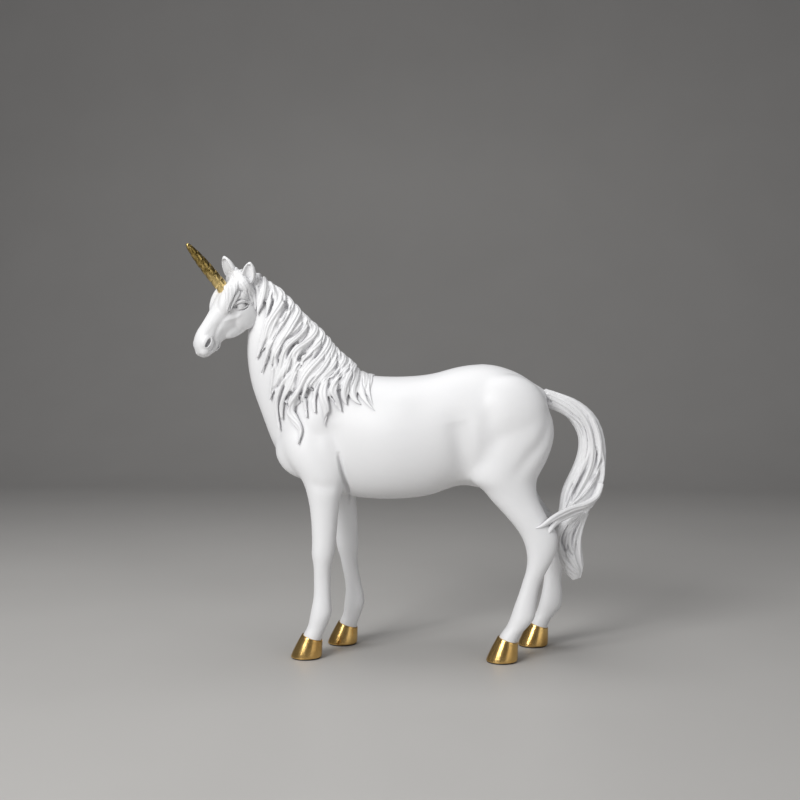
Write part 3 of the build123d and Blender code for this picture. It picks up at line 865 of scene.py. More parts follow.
def lid_roll(centre, x_dir, y_dir, out, start, end, radius_x, radius_y, thick, bow, steps=24):
    """Thin roll bent along part of an oval, thinner at its ends, for a fold of a lid."""
    rings = []
    for i in range(steps + 1):
        share = i / steps
        angle = radians(blend(start, end, share))
        place = Vector(centre) + x_dir * radius_x * cos(angle) + y_dir * radius_y * sin(angle)
        place = place + out * bow * (1 - cos(angle) ** 2)
        along = (-x_dir * radius_x * sin(angle) + y_dir * radius_y * cos(angle)).normalized()
        size = thick * (ROLL_END + (1 - ROLL_END) * sin(pi * share))
        rings.append((place, section_turn(out, along), size, size))
    return tube("lid", rings, sides=10)


def eye_axes(side):
    """Directions of an eye: towards its front corner, up across it, and out of the head."""
    slant, out = radians(EYE_SLANT), Vector((EYE_AHEAD, side, EYE_UP)).normalized()
    along = Vector((cos(slant), 0, sin(slant)))
    along = (along - out * along.dot(out)).normalized()
    up = Vector((-sin(slant), 0, cos(slant)))
    up = (up - out * up.dot(out) - along * up.dot(along)).normalized()
    return along, up, out


def eye(side):
    """Eyeball with two folds of the upper lid and two of the lower lid."""
    x, y, z = EYE_PLACE
    centre = Vector((x, y * side, z))
    along, up, out = eye_axes(side)
    ball = centre - out * EYE_SINK - along * EYE_SET_BACK
    parts = [mass("eyeball", ball, (EYE_RADIUS, EYE_RADIUS, EYE_RADIUS), detail=48)]
    for rise, sink, *fold in LID_ROWS:
        parts.append(lid_roll(centre + up * rise - out * sink, along, up, out, *fold))
    return parts


def head():
    """Head worked from skull, masses, ears and eyes, then turned to its place."""
    rings = []
    turn = section_turn((0, 0, 1), (1, 0, 0))
    for along, lift, depth, width in smooth_rows(SKULL_ROWS, steps=4):
        rings.append((Vector((along, 0, lift)), turn, depth, width))
    parts = [tube("skull", rings, SKULL_SIDES, SKULL_OUTLINE)]
    for name, ((x, y, z), radii, tilt) in HEAD_MASSES.items():
        for side in (-1, 1):
            parts.append(mass(name, (x, y * side, z), radii, (tilt[0] * side, tilt[1], tilt[2] * side)))
    piece = fused("head", parts, SKULL_VOXEL)
    soften(piece, rounds=9)
    for side in (-1, 1):
        x, y, z = EYE_PLACE
        carve(piece, mass("socket", (x, (y + SOCKET_OUT) * side, z), SOCKET_RADII, (0, -EYE_SLANT, 0)))
        x, y, z = NOSTRIL_PLACE
        carve(piece, mass("nostril", (x, y * side, z), NOSTRIL_RADII, (0, NOSTRIL_TILT, 0)))
    piece = fused("white_head", [piece, *[ear(*ends) for ends in EAR_ENDS]], HEAD_VOXEL)
    soften(piece, rounds=1)
    for side in (-1, 1):
        for part in eye(side):
            carve(piece, part, "UNION", "MANIFOLD")
    piece = cleaned(piece)
    piece.matrix_world = HEAD_MATRIX
    apply_place(piece)
    return face_relief(piece)


def face_relief(piece):
    """Creases and ridges of the face, traced on the left side and mirrored to the right."""
    tree, back = skin_search(piece), HEAD_MATRIX.inverted()
    for half_width, depth, pixels in FACE_RELIEF_PIXELS:
        near = [skin_point(tree, x, y)[0] for x, y in smooth_rows(pixels, steps=4)]
        far = []
        for place in near:
            place = back @ place
            far.append(tree.find_nearest(HEAD_MATRIX @ Vector((place.x, -place.y, place.z)))[0])
        press(piece, near, half_width, depth)
        press(piece, far, half_width, depth)
    return piece


# Camera

def make_camera():
    """Camera at the photograph's place and angle."""
    bpy.ops.object.select_all(action="DESELECT")
    bpy.ops.object.camera_add(
        location=Vector(CAMERA_PLACE) * MM + SHIFT, rotation=(radians(90), 0, radians(CAMERA_TURN)),
    )
    camera = bpy.context.object
    camera.data.sensor_width = SENSOR_WIDTH
    camera.data.lens = FOCAL_PIXELS / PICTURE_PIXELS * SENSOR_WIDTH
    camera.data.clip_start = NEAREST_SEEN
    bpy.context.scene.camera = camera


def pixel_ray(x, y):
    """Direction from the camera through a pixel of the photograph, in the modeller's frame."""
    turn = radians(CAMERA_TURN)
    ahead, right = Vector((-sin(turn), cos(turn), 0)), Vector((cos(turn), sin(turn), 0))
    half = PICTURE_PIXELS / 2
    aside, rise = (x - half) / FOCAL_PIXELS, (half - y) / FOCAL_PIXELS
    return (ahead + right * aside + Vector((0, 0, 1)) * rise).normalized()


# Hair, laid by pixels of the photograph on the skin under it

# Each lock of the mane from crest to tip: half width, thickness, then its pixels
MANE_LOCKS_PIXELS = (
    (2.0, 1.6, ((257, 273), (255.8, 281), (257.5, 289), (259, 297), (258, 305), (256.5, 313))),
    (2.6, 2.0, ((263, 277), (264.5, 288), (263.3, 297), (260.5, 306), (256.3, 316))),
    (2.3, 2.2, ((270, 280), (271.2, 291), (269.6, 300), (268.3, 309), (266.6, 318))),
    (4.2, 2.6, (
        (275, 284), (279, 295), (279, 306), (275, 317), (270, 327), (266.5, 338), (262, 349),
        (257.6, 358.5),
    )),
    (3.2, 2.4, (
        (285, 292), (289.4, 302), (289.6, 312), (285, 322), (278.5, 331), (273, 340), (269, 351),
        (266, 362), (262.6, 373),
    )),
    (3.8, 2.6, (
        (294, 301), (298.5, 311), (296.5, 322), (290, 332), (283, 341), (277.5, 351), (275, 362),
        (275.5, 373), (273, 386), (271.6, 400),
    )),
    (3.2, 2.6, (
        (302, 309), (305.6, 319), (304.4, 329), (297.5, 337), (289.5, 344), (285, 353), (283, 364),
        (281, 374), (277, 383), (274, 394),
    )),
    (3.6, 2.6, (
        (309, 317), (313, 327), (311.6, 337), (304, 344.5), (296.5, 352), (292.5, 362), (288.5, 372),
        (283, 381), (279.4, 392), (277.5, 404), (278.5, 417), (281.8, 431),
    )),
    (3.6, 2.6, (
        (316, 325), (319.5, 335), (318, 345), (311, 355), (304, 364), (297, 373), (292.5, 383),
        (288, 392), (283.5, 401), (282, 412), (284, 420),
    )),
    (3.8, 2.6, (
        (323, 336), (326, 347), (323, 359), (316, 368), (307, 376), (301, 385), (297, 395),
        (292.5, 404), (291.5, 411), (294.5, 419), (300.5, 427), (301.6, 434), (298.6, 444.5),
    )),
    (3.4, 2.4, (
        (330, 342), (331.5, 354), (328, 365), (320.5, 374), (312, 381), (306, 390), (304.5, 400),
        (306, 410), (308, 418),
    )),
    (3.4, 2.4, (
        (335.5, 346), (337, 357), (333.5, 367), (326, 375), (319.5, 383), (315, 393), (314, 403),
        (316, 413),
    )),
    (3.2, 2.4, (
        (341, 352), (342, 362), (337.5, 372), (330.5, 380), (325, 389), (323.5, 399), (326.5, 408),
        (326.5, 417), (324.3, 426),
    )),
    (3.0, 2.2, (
        (347, 357), (348, 367), (343, 377), (336.5, 385), (332.5, 393), (335.5, 400), (339.5, 406),
        (341.8, 412),
    )),
    (3.0, 2.0, ((352, 361), (352.5, 371), (348.5, 380), (345, 389), (344, 398), (347, 405))),
    (2.6, 1.4, ((357.5, 365), (357.5, 375), (354.5, 385), (352.5, 394), (356, 401), (361, 405))),
    (2.3, 1.1, ((363.5, 369), (363.5, 379), (361.5, 388), (363, 396), (368, 404), (374.5, 411))),
    (1.8, 0.7, ((369.5, 373), (369, 381), (368, 389), (370, 398), (373, 405))),
)
# Dark furrows between locks: half width, depth, then pixels
MANE_FURROWS_PIXELS = (
    (0.8, 2.2, (
        (268.8, 281), (269.8, 289), (268, 296), (265, 301), (264, 306), (263, 313), (262.5, 319),
    )),
    (0.8, 2.6, ((270.8, 286), (272.6, 294), (272.6, 301), (270.6, 308), (268.3, 316))),
    (1.1, 3.0, (
        (283, 297), (286.2, 304), (286.6, 311), (283.6, 318), (278.6, 323), (275.4, 330), (272.8, 337),
        (270.6, 341),
    )),
    (0.6, 1.4, (
        (291.5, 304), (291.6, 310), (288.6, 318), (284, 326), (278.5, 334), (273.5, 343), (269.4, 351),
    )),
    (0.9, 2.6, (
        (303.4, 318), (303.2, 324), (300.6, 329), (296, 333), (290, 336.5), (285.4, 341), (282.2, 347),
        (280.4, 352),
    )),
    (0.9, 2.8, (
        (308.6, 322), (309, 328), (307.4, 334), (303, 339), (297, 343), (292, 347), (289.4, 351),
        (287.8, 355),
    )),
    (1.3, 2.6, ((312.6, 345), (308, 350), (303.4, 354), (299.6, 358), (299.4, 363), (296.8, 371))),
    (0.6, 1.8, ((314, 351), (311, 356), (305, 361), (300.6, 366), (296.8, 371))),
    (0.8, 2.2, ((273.6, 356), (274, 361), (272.4, 366), (268, 368.6), (263.6, 371.4))),
    (0.8, 2.0, ((267.8, 338), (265, 343), (263.6, 347), (261.6, 352), (258.4, 358))),
    (1.0, 2.6, (
        (291.8, 355), (292, 362), (290, 369), (285.6, 374.6), (280.6, 380), (277.6, 386), (273.6, 389),
        (272, 398),
    )),
    (0.5, 1.4, ((288.6, 357), (286, 362.6), (282.6, 368.4))),
    (1.1, 2.8, (
        (298.6, 373), (296.6, 380), (295.4, 388), (290, 394), (286.6, 399), (286.6, 406), (286.4, 411),
    )),
    (0.8, 2.2, ((285.4, 418), (282.4, 420.4), (280.6, 424))),
    (1.0, 3.4, (
        (302, 390), (300.6, 396), (301.6, 403), (303.4, 411), (305, 419), (306.4, 427), (305.4, 435),
        (301.6, 443),
    )),
    (0.7, 2.4, ((315.4, 377), (311, 382), (308.4, 388), (307.4, 396))),
    (1.1, 3.4, ((318.6, 379), (314.6, 385), (311.4, 391), (310.6, 398), (310.8, 408), (309.2, 416))),
    (0.9, 2.6, ((337.4, 350), (338.8, 357), (337.6, 365), (333, 371.4), (327.6, 376), (324, 381.6))),
    (1.1, 2.4, ((334, 373), (330.6, 379), (328.6, 388))),
    (1.3, 3.2, ((343.4, 372), (341, 379), (339.4, 386), (338, 392))),
    (0.5, 1.6, ((341.6, 366), (339, 372), (334.6, 380))),
    (0.9, 3.6, ((330.4, 396), (332, 400), (334, 403.4))),
    (0.8, 3.0, ((330.8, 402), (331.2, 409), (328.4, 415), (325.4, 421), (324.4, 426))),
    (0.6, 1.8, ((354, 368), (352.4, 377), (350.8, 385), (350, 391))),
    (0.5, 1.2, ((363, 377), (363.2, 384), (366, 391))),
    (0.5, 1.0, ((371, 375), (370.6, 384), (370.4, 392))),
    (0.5, 1.8, ((323, 337), (322.4, 342), (320.4, 348))),
    (0.5, 1.6, ((350.6, 363), (350, 368), (347.4, 372))),
    (0.5, 1.2, ((325.4, 352), (323.6, 361), (319, 368), (313, 374))),
    (0.5, 1.2, ((330.6, 352), (330.6, 361), (325.4, 370), (318.4, 378))),
    (1.4, 4.0, ((257.6, 279.6), (258.6, 283), (260, 286.4))),
)
FORELOCK_PIXELS = (
    (2.8, 1.3, ((240, 270), (238.6, 279), (236.6, 287), (234.4, 295), (231.4, 304), (228.4, 314))),
    (2.6, 1.1, ((236, 271), (233.4, 279), (231.6, 287), (230.4, 296), (228.4, 305), (226.6, 312))),
    (2.4, 0.9, ((232.4, 273), (229.6, 280), (228.4, 287), (227.6, 294), (226.6, 302))),
    (2.6, 1.3, ((238.5, 271), (240, 279), (243.4, 286), (247.6, 292), (250.4, 299), (251.8, 306))),
    (2.4, 1.4, ((241, 278), (245, 285), (250, 289.6), (253.6, 295), (255.4, 302), (255, 310))),
)
FORELOCK_FURROWS_PIXELS = (
    (0.7, 2.0, ((239, 289), (236, 295), (233.6, 301), (231, 306), (228.4, 313.6))),
    (0.6, 1.6, ((239, 289), (243, 292.6), (246.4, 297.6))),
    (0.7, 2.0, ((247.8, 290), (249.8, 296), (250.6, 301), (252.2, 305.4))),
)

# Traced half sizes of locks are made this much fuller, and traced furrows this much wider
FULLNESS = 1.25
FURROW_WIDTH = 1.5
# A lock along its length: full width at this share, its size at root and tip, taper, least thickness
LOCK_FULL = 0.3
LOCK_ROOT = 0.9
LOCK_TIP = 0.12
LOCK_TAPER = 1.5
LOCK_THINNEST = 0.3
# Waves of a lock's strands: share of its half width, radians over a lock of this many rows
LOCK_WAVE = 0.40
LOCK_TURNS = 11.0
LOCK_ROWS = 28
# Height of a lock over its skin: at its ends, more in the middle, and where the arch ends
LOCK_REST = 0.75
LOCK_ARCH = 0.5
LOCK_ARCH_END = 1.15
# Root of a lock that is wrapped over the crest: step back and down, and height over the skin
WRAP_BACK = 1.0
WRAP_DROP = 0.5
WRAP_LIFT = 0.8
# Bed under a lock, against the lock's own sizes
BED_DROP = 0.9
BED_WIDTH = 1.7
BED_THICKNESS = 0.6
# The three strands of a lock: width, spread and thickness against its own, less at the sides and
# swelling with the wave; then the steps in radians between their waves, and the plain wave itself
STRAND_WIDTH = 0.64
STRAND_SPREAD = 0.62
STRAND_THICKNESS = 1.14
STRAND_SIDE_LOSS = 0.40
STRAND_SWELL = 0.10
STRAND_STEP = 2.1
SEED_STEP = 1.3
STRAND_WAVE = 0.32
STRAND_TURNS = 5.0
# Section of a strand: every fourth point sinks in to a share of the full size
STRAND_SIDES = 20
STRAND_OUTLINE = ((range(0, STRAND_SIDES, 4), 0.80),)
# Upright planes, by their distance from the middle: where a pixel's ray meets no skin, and the tail's
MISS_PLANE = -4
TAIL_PLANE = -5

# Tail: centre line, half width in the picture's plane and half depth, from dock to tip
TAIL_ROWS = (
    (97, 176.3, 5.4, 5.0),
    (109, 172.5, 6.2, 5.6),
    (119.4, 167.2, 7.0, 6.0),
    (129.6, 157.3, 7.6, 6.2),
    (132.4, 141, 8.8, 6.8),
    (130.4, 127, 11.0, 7.8),
    (127.2, 116.3, 13.0, 8.8),
    (122.4, 106.4, 13.0, 9.2),
    (118, 92.5, 9.8, 8.6),
    (117.4, 77, 8.4, 8.0),
    (118.4, 64.6, 9.0, 7.2),
    (119.6, 57, 7.4, 5.8),
    (121.2, 51.7, 3.2, 2.8),
)
TAIL_STRANDS_PIXELS = (
    (3.0, 3.0, (
        (546, 391), (562, 396.5), (577, 403.5), (589, 414), (596.5, 428), (600.5, 443), (600.5, 457),
        (598, 470), (593, 481), (586, 491), (577, 500), (567, 508),
    )),
    (2.6, 2.6, (
        (548, 394.5), (563, 400.5), (576, 408.5), (585.5, 419), (591, 432), (593, 446), (592.5, 459),
        (589, 471), (583, 482.5), (576.5, 494), (568, 506),
    )),
    (2.4, 2.6, (
        (550, 398), (564, 404), (574.5, 411.5), (582.5, 421), (587, 433), (588, 446), (585.5, 458.5),
        (580, 470.5), (574.5, 482), (569.5, 494), (563.5, 508),
    )),
    (2.6, 2.6, (
        (552, 402), (563, 408), (573, 415.5), (579.5, 425), (583.4, 436), (583.4, 447.5), (578.5, 460),
        (572, 472), (566.5, 485), (562, 498), (559.5, 511),
    )),
    (2.4, 2.4, (
        (554.5, 406.5), (564, 411.5), (572, 418.5), (578, 427.5), (581.5, 438), (581, 448.5),
        (575, 461), (568, 474), (562, 487), (558, 500), (556, 513),
    )),
    (2.0, 2.4, ((599, 444), (602, 456), (603.5, 468), (603, 480), (599.5, 491), (593, 500), (584, 506))),
    (1.8, 2.0, (
        (580, 512), (571, 520), (563.5, 531), (560.5, 543), (561.5, 555), (566, 564), (573, 571),
        (580, 575), (585, 577.5),
    )),
    (1.8, 2.0, (
        (583, 513), (576, 522), (569, 533), (566, 545), (568, 556), (574, 565), (580, 571), (585, 575),
    )),
    (1.8, 2.0, (
        (585, 513), (579, 523), (574, 535), (571.6, 547), (573.6, 558), (579, 567), (584.6, 574),
    )),
    (2.2, 2.0, ((587, 513), (582.6, 524), (579, 536), (579.4, 548), (581.4, 559), (584, 570))),
    (2.0, 2.0, (
        (576, 512), (566, 520), (560, 531), (558.6, 543), (559, 556), (563, 566), (570, 573),
        (578, 577),
    )),
)
TAIL_FURROWS_PIXELS = (
    (0.5, 1.4, (
        (564, 409), (573, 414.6), (580.6, 421), (585.4, 429), (587.6, 438), (587.8, 448), (585.8, 457),
        (582.6, 464),
    )),
    (0.5, 1.2, ((570, 417), (577, 423), (582, 430), (584.6, 440))),
    (0.5, 1.4, ((588, 416), (592.6, 428), (595.4, 441), (596.6, 453), (596, 463), (594.6, 472))),
    (0.8, 2.2, ((602, 460), (599, 468), (594.4, 474.6), (590.6, 481))),
    (0.8, 2.6, ((586.4, 469), (581, 478), (577, 486), (573.6, 494), (571.4, 503))),
    (0.5, 1.4, ((577.6, 478), (574, 485), (571, 492), (569.8, 500))),
    (0.5, 1.4, ((596, 478), (589, 486), (581, 497))),
    (0.8, 2.4, ((578, 519), (570.6, 529), (567.4, 540), (568.4, 550), (573, 557))),
    (0.8, 2.4, ((574, 519), (565, 531), (561.6, 540), (564.4, 549), (570.4, 556))),
    (0.7, 2.2, ((580.6, 521), (574.6, 532), (572.2, 543), (574.4, 555))),
)
# Side lock of the tail, forward across the left hock: half width, thickness, then pixel and the
# distance from the middle
SIDE_LOCK_PIXELS = (
    (2.7, 2.0, (
        (601, 484, -7), (597, 496, -11), (586, 504, -15), (573, 508, -18), (561, 513.5, -22),
        (551, 519.5, -26), (542, 526, -28.5), (535, 528.6, -28.5),
    )),
    (2.3, 1.8, (
        (599, 490, -6), (590, 505, -12), (577, 510.5, -15), (565, 516, -19), (556, 522, -23.5),
        (551, 529, -26), (547.5, 534.5, -27), (543.4, 538.6, -27),
    )),
)


def skin_search(*pieces):
    """Search tree over skins, for laying hair on them."""
    places, faces = [], []
    for piece in pieces:
        start = len(places)
        places += [point.co.copy() for point in piece.data.vertices]
        faces += [[start + number for number in face.vertices] for face in piece.data.polygons]
    return BVHTree.FromPolygons(places, faces)


def plane_point(x, y, depth):
    """Place where a pixel's ray meets the upright plane at this distance from the middle."""
    eye_place, ray = Vector(CAMERA_PLACE), pixel_ray(x, y)
    return eye_place + ray * ((depth - eye_place.y) / ray.y)


def skin_point(tree, x, y):
    """Place and normal where a pixel's ray meets the skin, or the nearest skin where it passes by."""
    eye_place, ray = Vector(CAMERA_PLACE), pixel_ray(x, y)
    place, normal, _, _ = tree.ray_cast(eye_place, ray)
    if place is None:
        place, normal, _, _ = tree.find_nearest(plane_point(x, y, MISS_PLANE))
    return place, normal


def lock_rings(places, outs, half_width, thickness, shift=0.0, wave=0.0, phase=0.0, turns=0.0):
    """Rings of a tapered lock along places, flat against the outward directions."""
    rings, last = [], len(places) - 1
    for i, (place, out) in enumerate(zip(places, outs)):
        share = i / last
        before, after = neighbours(places, i)
        along = (after - before).normalized()
        out = (out - along * out.dot(along)).normalized()
        across = out.cross(along)
        if share < LOCK_FULL:
            swell = blend(LOCK_ROOT, 1.0, share / LOCK_FULL)
        else:
            swell = blend(1.0, LOCK_TIP, ((share - LOCK_FULL) / (1 - LOCK_FULL)) ** LOCK_TAPER)
        width = half_width * swell
        place = place + across * half_width * swell * (shift + wave * sin(turns * share + phase))
        rings.append((place, section_turn(across, along), width, thickness * max(swell, LOCK_THINNEST)))
    return rings


def strands(name, places, outs, half_width, thickness, seed, wave=STRAND_WAVE, turns=STRAND_TURNS):
    """One lock made of three strands that lie side by side and cross a little."""
    pieces = []
    for k, side in enumerate((-1, 0, 1)):
        phase = STRAND_STEP * k + SEED_STEP * seed
        depth = thickness * (STRAND_THICKNESS - STRAND_SIDE_LOSS * abs(side) + STRAND_SWELL * sin(phase))
        width, shift = half_width * STRAND_WIDTH, side * STRAND_SPREAD
        rings = lock_rings(places, outs, width, depth, shift, wave, phase, turns)
        pieces.append(tube(name, rings, STRAND_SIDES, STRAND_OUTLINE))
    return pieces


def laid_locks(tree, table, lift, wrap=0.0):
    """Locks with their beds, laid on the skin from a table of pixels; wrap takes roots over the crest."""
    pieces = []
    for seed, (half_width, thickness, pixels) in enumerate(table):
        places, outs = [], []
        rows = smooth_rows(pixels, steps=3)
        rise = min(lift, thickness)
        for i, (x, y) in enumerate(rows):
            share = i / (len(rows) - 1)
            place, out = skin_point(tree, x, y)
            arch = LOCK_REST + LOCK_ARCH * sin(pi * min(share * LOCK_ARCH_END, 1.0))
            places.append(place + out * rise * arch)
            outs.append(out)
        if wrap:
            root = places[0]
            beyond = Vector((root.x + WRAP_BACK, root.y + wrap, root.z - WRAP_DROP))
            place, out, _, _ = tree.find_nearest(beyond)
            places.insert(0, place + out * WRAP_LIFT)
            outs.insert(0, out)
        places, outs = even_places(places), even_places(outs)
        turns = LOCK_TURNS * len(rows) / LOCK_ROWS
        full, thick = half_width * FULLNESS, thickness * FULLNESS
        pieces += strands("lock", places, outs, full, thick, seed, LOCK_WAVE, turns)
        low = [place - out * rise * BED_DROP for place, out in zip(places, outs)][:-2]
        bed = lock_rings(low, outs[:-2], half_width * BED_WIDTH, thickness * BED_THICKNESS)
        pieces.append(tube("bed", bed, sides=16))
    return pieces


def even_places(places):
    """Places with their small jumps averaged out, ends kept."""
    smooth = [place.copy() for place in places]
    for _ in range(2):
        smooth = [
            place if i in (0, len(smooth) - 1) else (smooth[i - 1] + place * 2 + smooth[i + 1]) / 4
            for i, place in enumerate(smooth)
        ]
    return smooth


def furrow(piece, tree, table, lift):
    """Presses the traced furrows into hair that lies on a skin."""
    for half_width, depth, pixels in table:
        path = []
        for x, y in smooth_rows(pixels, steps=6):
            place, out = skin_point(tree, x, y)
            path.append(place + out * lift)
        press(piece, path, half_width * FURROW_WIDTH, depth)


def mane(tree, material):
    """Mane of laid locks with deep furrows between them."""
    locks = laid_locks(tree, MANE_LOCKS_PIXELS, lift=2.1, wrap=7.0)
    piece = fused("mane_locks", locks, HAIR_VOXEL)
    soften(piece, rounds=1)
    furrow(piece, skin_search(piece), MANE_FURROWS_PIXELS, lift=-0.4)
    soften(piece, rounds=2, factor=0.4)
    piece = cleaned(thin_out(piece))
    settle(piece, material)
    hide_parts("mane")


def forelock(tree, material):
    """Forelock of locks from the poll over the forehead."""
    piece = fused("forelock_locks", laid_locks(tree, FORELOCK_PIXELS, lift=0.5), HEAD_VOXEL)
    soften(piece, rounds=1)
    furrow(piece, skin_search(piece), FORELOCK_FURROWS_PIXELS, lift=-0.2)
    piece = cleaned(thin_out(piece))
    settle(piece, material)
    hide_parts("forelock")


# Strands of the tail's faces: the farthest out they lie, and how deep they sink in, as shares
TAIL_EDGE = 0.97
STRAND_SINK = 0.55
# Core of the tail, as a share of its full size
CORE_SIZE = 0.8
# Strands along the rims of the tail: place outwards, spread to the sides, wave, and half sizes
RIM_OUT = 0.80
RIM_SPREAD = 0.48
RIM_WAVE = 0.16
RIM_TURNS = 9.0
RIM_HALF_WIDTH = 2.6
RIM_THICKNESS = 1.9
SIDE_LOCK_OUT = (0.1, -1, 0.25)


def tail_place(x, z):
    """Nearest station of the tail, the direction across it, and the share across where a place lies."""
    rows = np.array(smooth_rows(TAIL_ROWS, steps=6))
    nearest = np.argmin((rows[:, 0] - x) ** 2 + (rows[:, 1] - z) ** 2)
    low, high = neighbours(rows, nearest)
    along = np.array([high[0] - low[0], high[1] - low[1]])
    along /= np.linalg.norm(along)
    across = np.array([-along[1], along[0]])
    offset = (np.array([x, z]) - rows[nearest, :2]) @ across
    return rows[nearest], across, float(np.clip(offset / rows[nearest, 2], -TAIL_EDGE, TAIL_EDGE))


def tail_strand(pixels, side, half_width, thickness, seed):
    """Strand of the tail on its near or its far face."""
    places, outs = [], []
    for x, y in smooth_rows(pixels, steps=2):
        flat = plane_point(x, y, TAIL_PLANE)
        (mid_x, mid_z, half, deep), across, share = tail_place(flat.x, flat.z)
        rise = sqrt(1 - share ** 2)
        out = Vector((across[0] * share, side * rise, across[1] * share)).normalized()
        aside_x, aside_z = across * share * half
        place = Vector((mid_x + aside_x, side * deep * rise, mid_z + aside_z))
        places.append(place - out * thickness * STRAND_SINK)
        outs.append(out)
    return strands("strand", even_places(places), even_places(outs), half_width, thickness, seed)


def rim_strand(edge, side, seed):
    """Strand along the outer or the inner rim of the tail, from dock to tip."""
    places, outs = [], []
    rows = smooth_rows(TAIL_ROWS, steps=3)
    last = len(rows) - 1
    for i, (x, z, half, depth) in enumerate(rows):
        low, high = neighbours(rows, i)
        along = Vector((high[0] - low[0], 0, high[1] - low[1])).normalized()
        across = along.cross(Vector((0, 1, 0))) * edge
        share = RIM_SPREAD * side + RIM_WAVE * sin(RIM_TURNS * i / last + seed)
        rise = sqrt(1 - share ** 2)
        places.append(Vector((x, share * depth, z)) + across * half * RIM_OUT * rise)
        outs.append((across * rise + Vector((0, share, 0))).normalized())
    places, outs = even_places(places), even_places(outs)
    return strands("rim_strand", places, outs, RIM_HALF_WIDTH, RIM_THICKNESS, seed)


def tail(material):
    """Tail of strands round a core, with the side lock across the hock."""
    core = []
    rows = smooth_rows(TAIL_ROWS, steps=3)
    for i, (x, z, half, depth) in enumerate(rows):
        low, high = neighbours(rows, i)
        normal = Vector((high[0] - low[0], 0, high[1] - low[1]))
        turn = section_turn(normal.cross(Vector((0, 1, 0))), normal)
        core.append((Vector((x, 0, z)), turn, half * CORE_SIZE, depth * CORE_SIZE))
    pieces = [tube("core", core)]
    for seed, (half_width, thickness, pixels) in enumerate(TAIL_STRANDS_PIXELS):
        for side in (-1, 1):
            pieces += tail_strand(pixels, side, half_width, thickness, seed + side)
    for edge in (-1, 1):
        for side in (-1, 1):
            pieces += rim_strand(edge, side, edge + 2 * side)
    for seed, (half_width, thickness, pixels) in enumerate(SIDE_LOCK_PIXELS):
        places = [plane_point(x, y, depth) for x, y, depth in smooth_rows(pixels, steps=3)]
        outs = [Vector(SIDE_LOCK_OUT).normalized()] * len(places)
        pieces += strands("side_lock", places, outs, half_width, thickness, seed)
    piece = fused("tail_strands", pieces, HAIR_VOXEL)
    soften(piece, rounds=1)
    furrow(piece, skin_search(piece), TAIL_FURROWS_PIXELS, lift=-0.2)
    thin_out(piece)
    settle(piece, material)
    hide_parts("tail")


# Horn and hooves

HORN_LENGTH = 41.8
HORN_WIDTH = 8.8
HORN_LEAN = 9.5
HORN_SEAT = (19.2, 0, 10.4)
HORN_TURNS = 3.5
HORN_RINGS = 96
HORN_SIDES = 36
# Size of the horn's section in its two grooves and on their flanks
GROOVE_SIZE = 0.90
FLANK_SIZE = 0.965
HOOF_LENGTH = 21.4
HOOF_WIDTH = 19.0
HOOF_REACH = 4.2
PAD_THICKNESS = 0.8
CORONET_LEDGE = 0.5
# Edges of a hoof that are sharper than this angle are rounded
HOOF_BEVEL = 0.35
SHARP_ANGLE = 50
# Horn and its collar from root to tip: share of the length, share of the width
HORN_ROWS = (
    (0, 1), (0.09, 1), (0.34, 0.96), (0.507, 0.91), (0.686, 0.80), (0.836, 0.62), (0.93, 0.45),
    (0.98, 0.30), (1, 0.12),
)
COLLAR_ROWS = ((-0.04, 1.0), (-0.01, 1.07), (0.015, 1.07), (0.03, 1.01), (0.075, 1.03), (0.095, 0.96))
# Hoof from sole to coronet: share up, trim against the straight taper
HOOF_ROWS = (
    (0.0, 0.955), (0.02, 0.985), (0.07, 1.0), (0.25, 1.01), (0.5, 1.01), (0.75, 1.0), (0.9, 0.995),
    (0.97, 1.0), (1.0, 0.97),
)


def horn(material):
    """Tapered horn with two grooves wound round it and a plain rim at its root."""
    lean = radians(HORN_LEAN)
    axis = Vector((-sin(lean), 0, cos(lean)))
    axis_turn = section_turn((0, 1, 0), axis)
    rings = []
    for i in range(HORN_RINGS + 1):
        share = i / HORN_RINGS
        radius = table_value(HORN_ROWS, share) * HORN_WIDTH / 2
        turn = axis_turn @ Matrix.Rotation(2 * pi * HORN_TURNS * share, 3, "Z")
        rings.append((Vector(HORN_SEAT) + axis * HORN_LENGTH * share, turn, radius, radius))
    starts = (0, HORN_SIDES // 2)
    groove = [(start + i) % HORN_SIDES for start in starts for i in (-1, 0, 1)]
    flank = [(start + i) % HORN_SIDES for start in starts for i in (-3, -2, 2, 3)]
    piece = tube("gold_horn", rings, HORN_SIDES, ((groove, GROOVE_SIZE), (flank, FLANK_SIZE)))
    collar = []
    for share, size in COLLAR_ROWS:
        radius = size * HORN_WIDTH / 2
        collar.append((Vector(HORN_SEAT) + axis * HORN_LENGTH * share, axis_turn, radius, radius))
    piece = fused("gold_horn", [piece, tube("collar", collar, HORN_SIDES)], HORN_VOXEL)
    soften(piece, rounds=3)
    piece.matrix_world = HEAD_MATRIX
    apply_place(piece)
    thin_out(piece, HORN_TRIANGLES)
    settle(piece, material)
    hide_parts("horn")


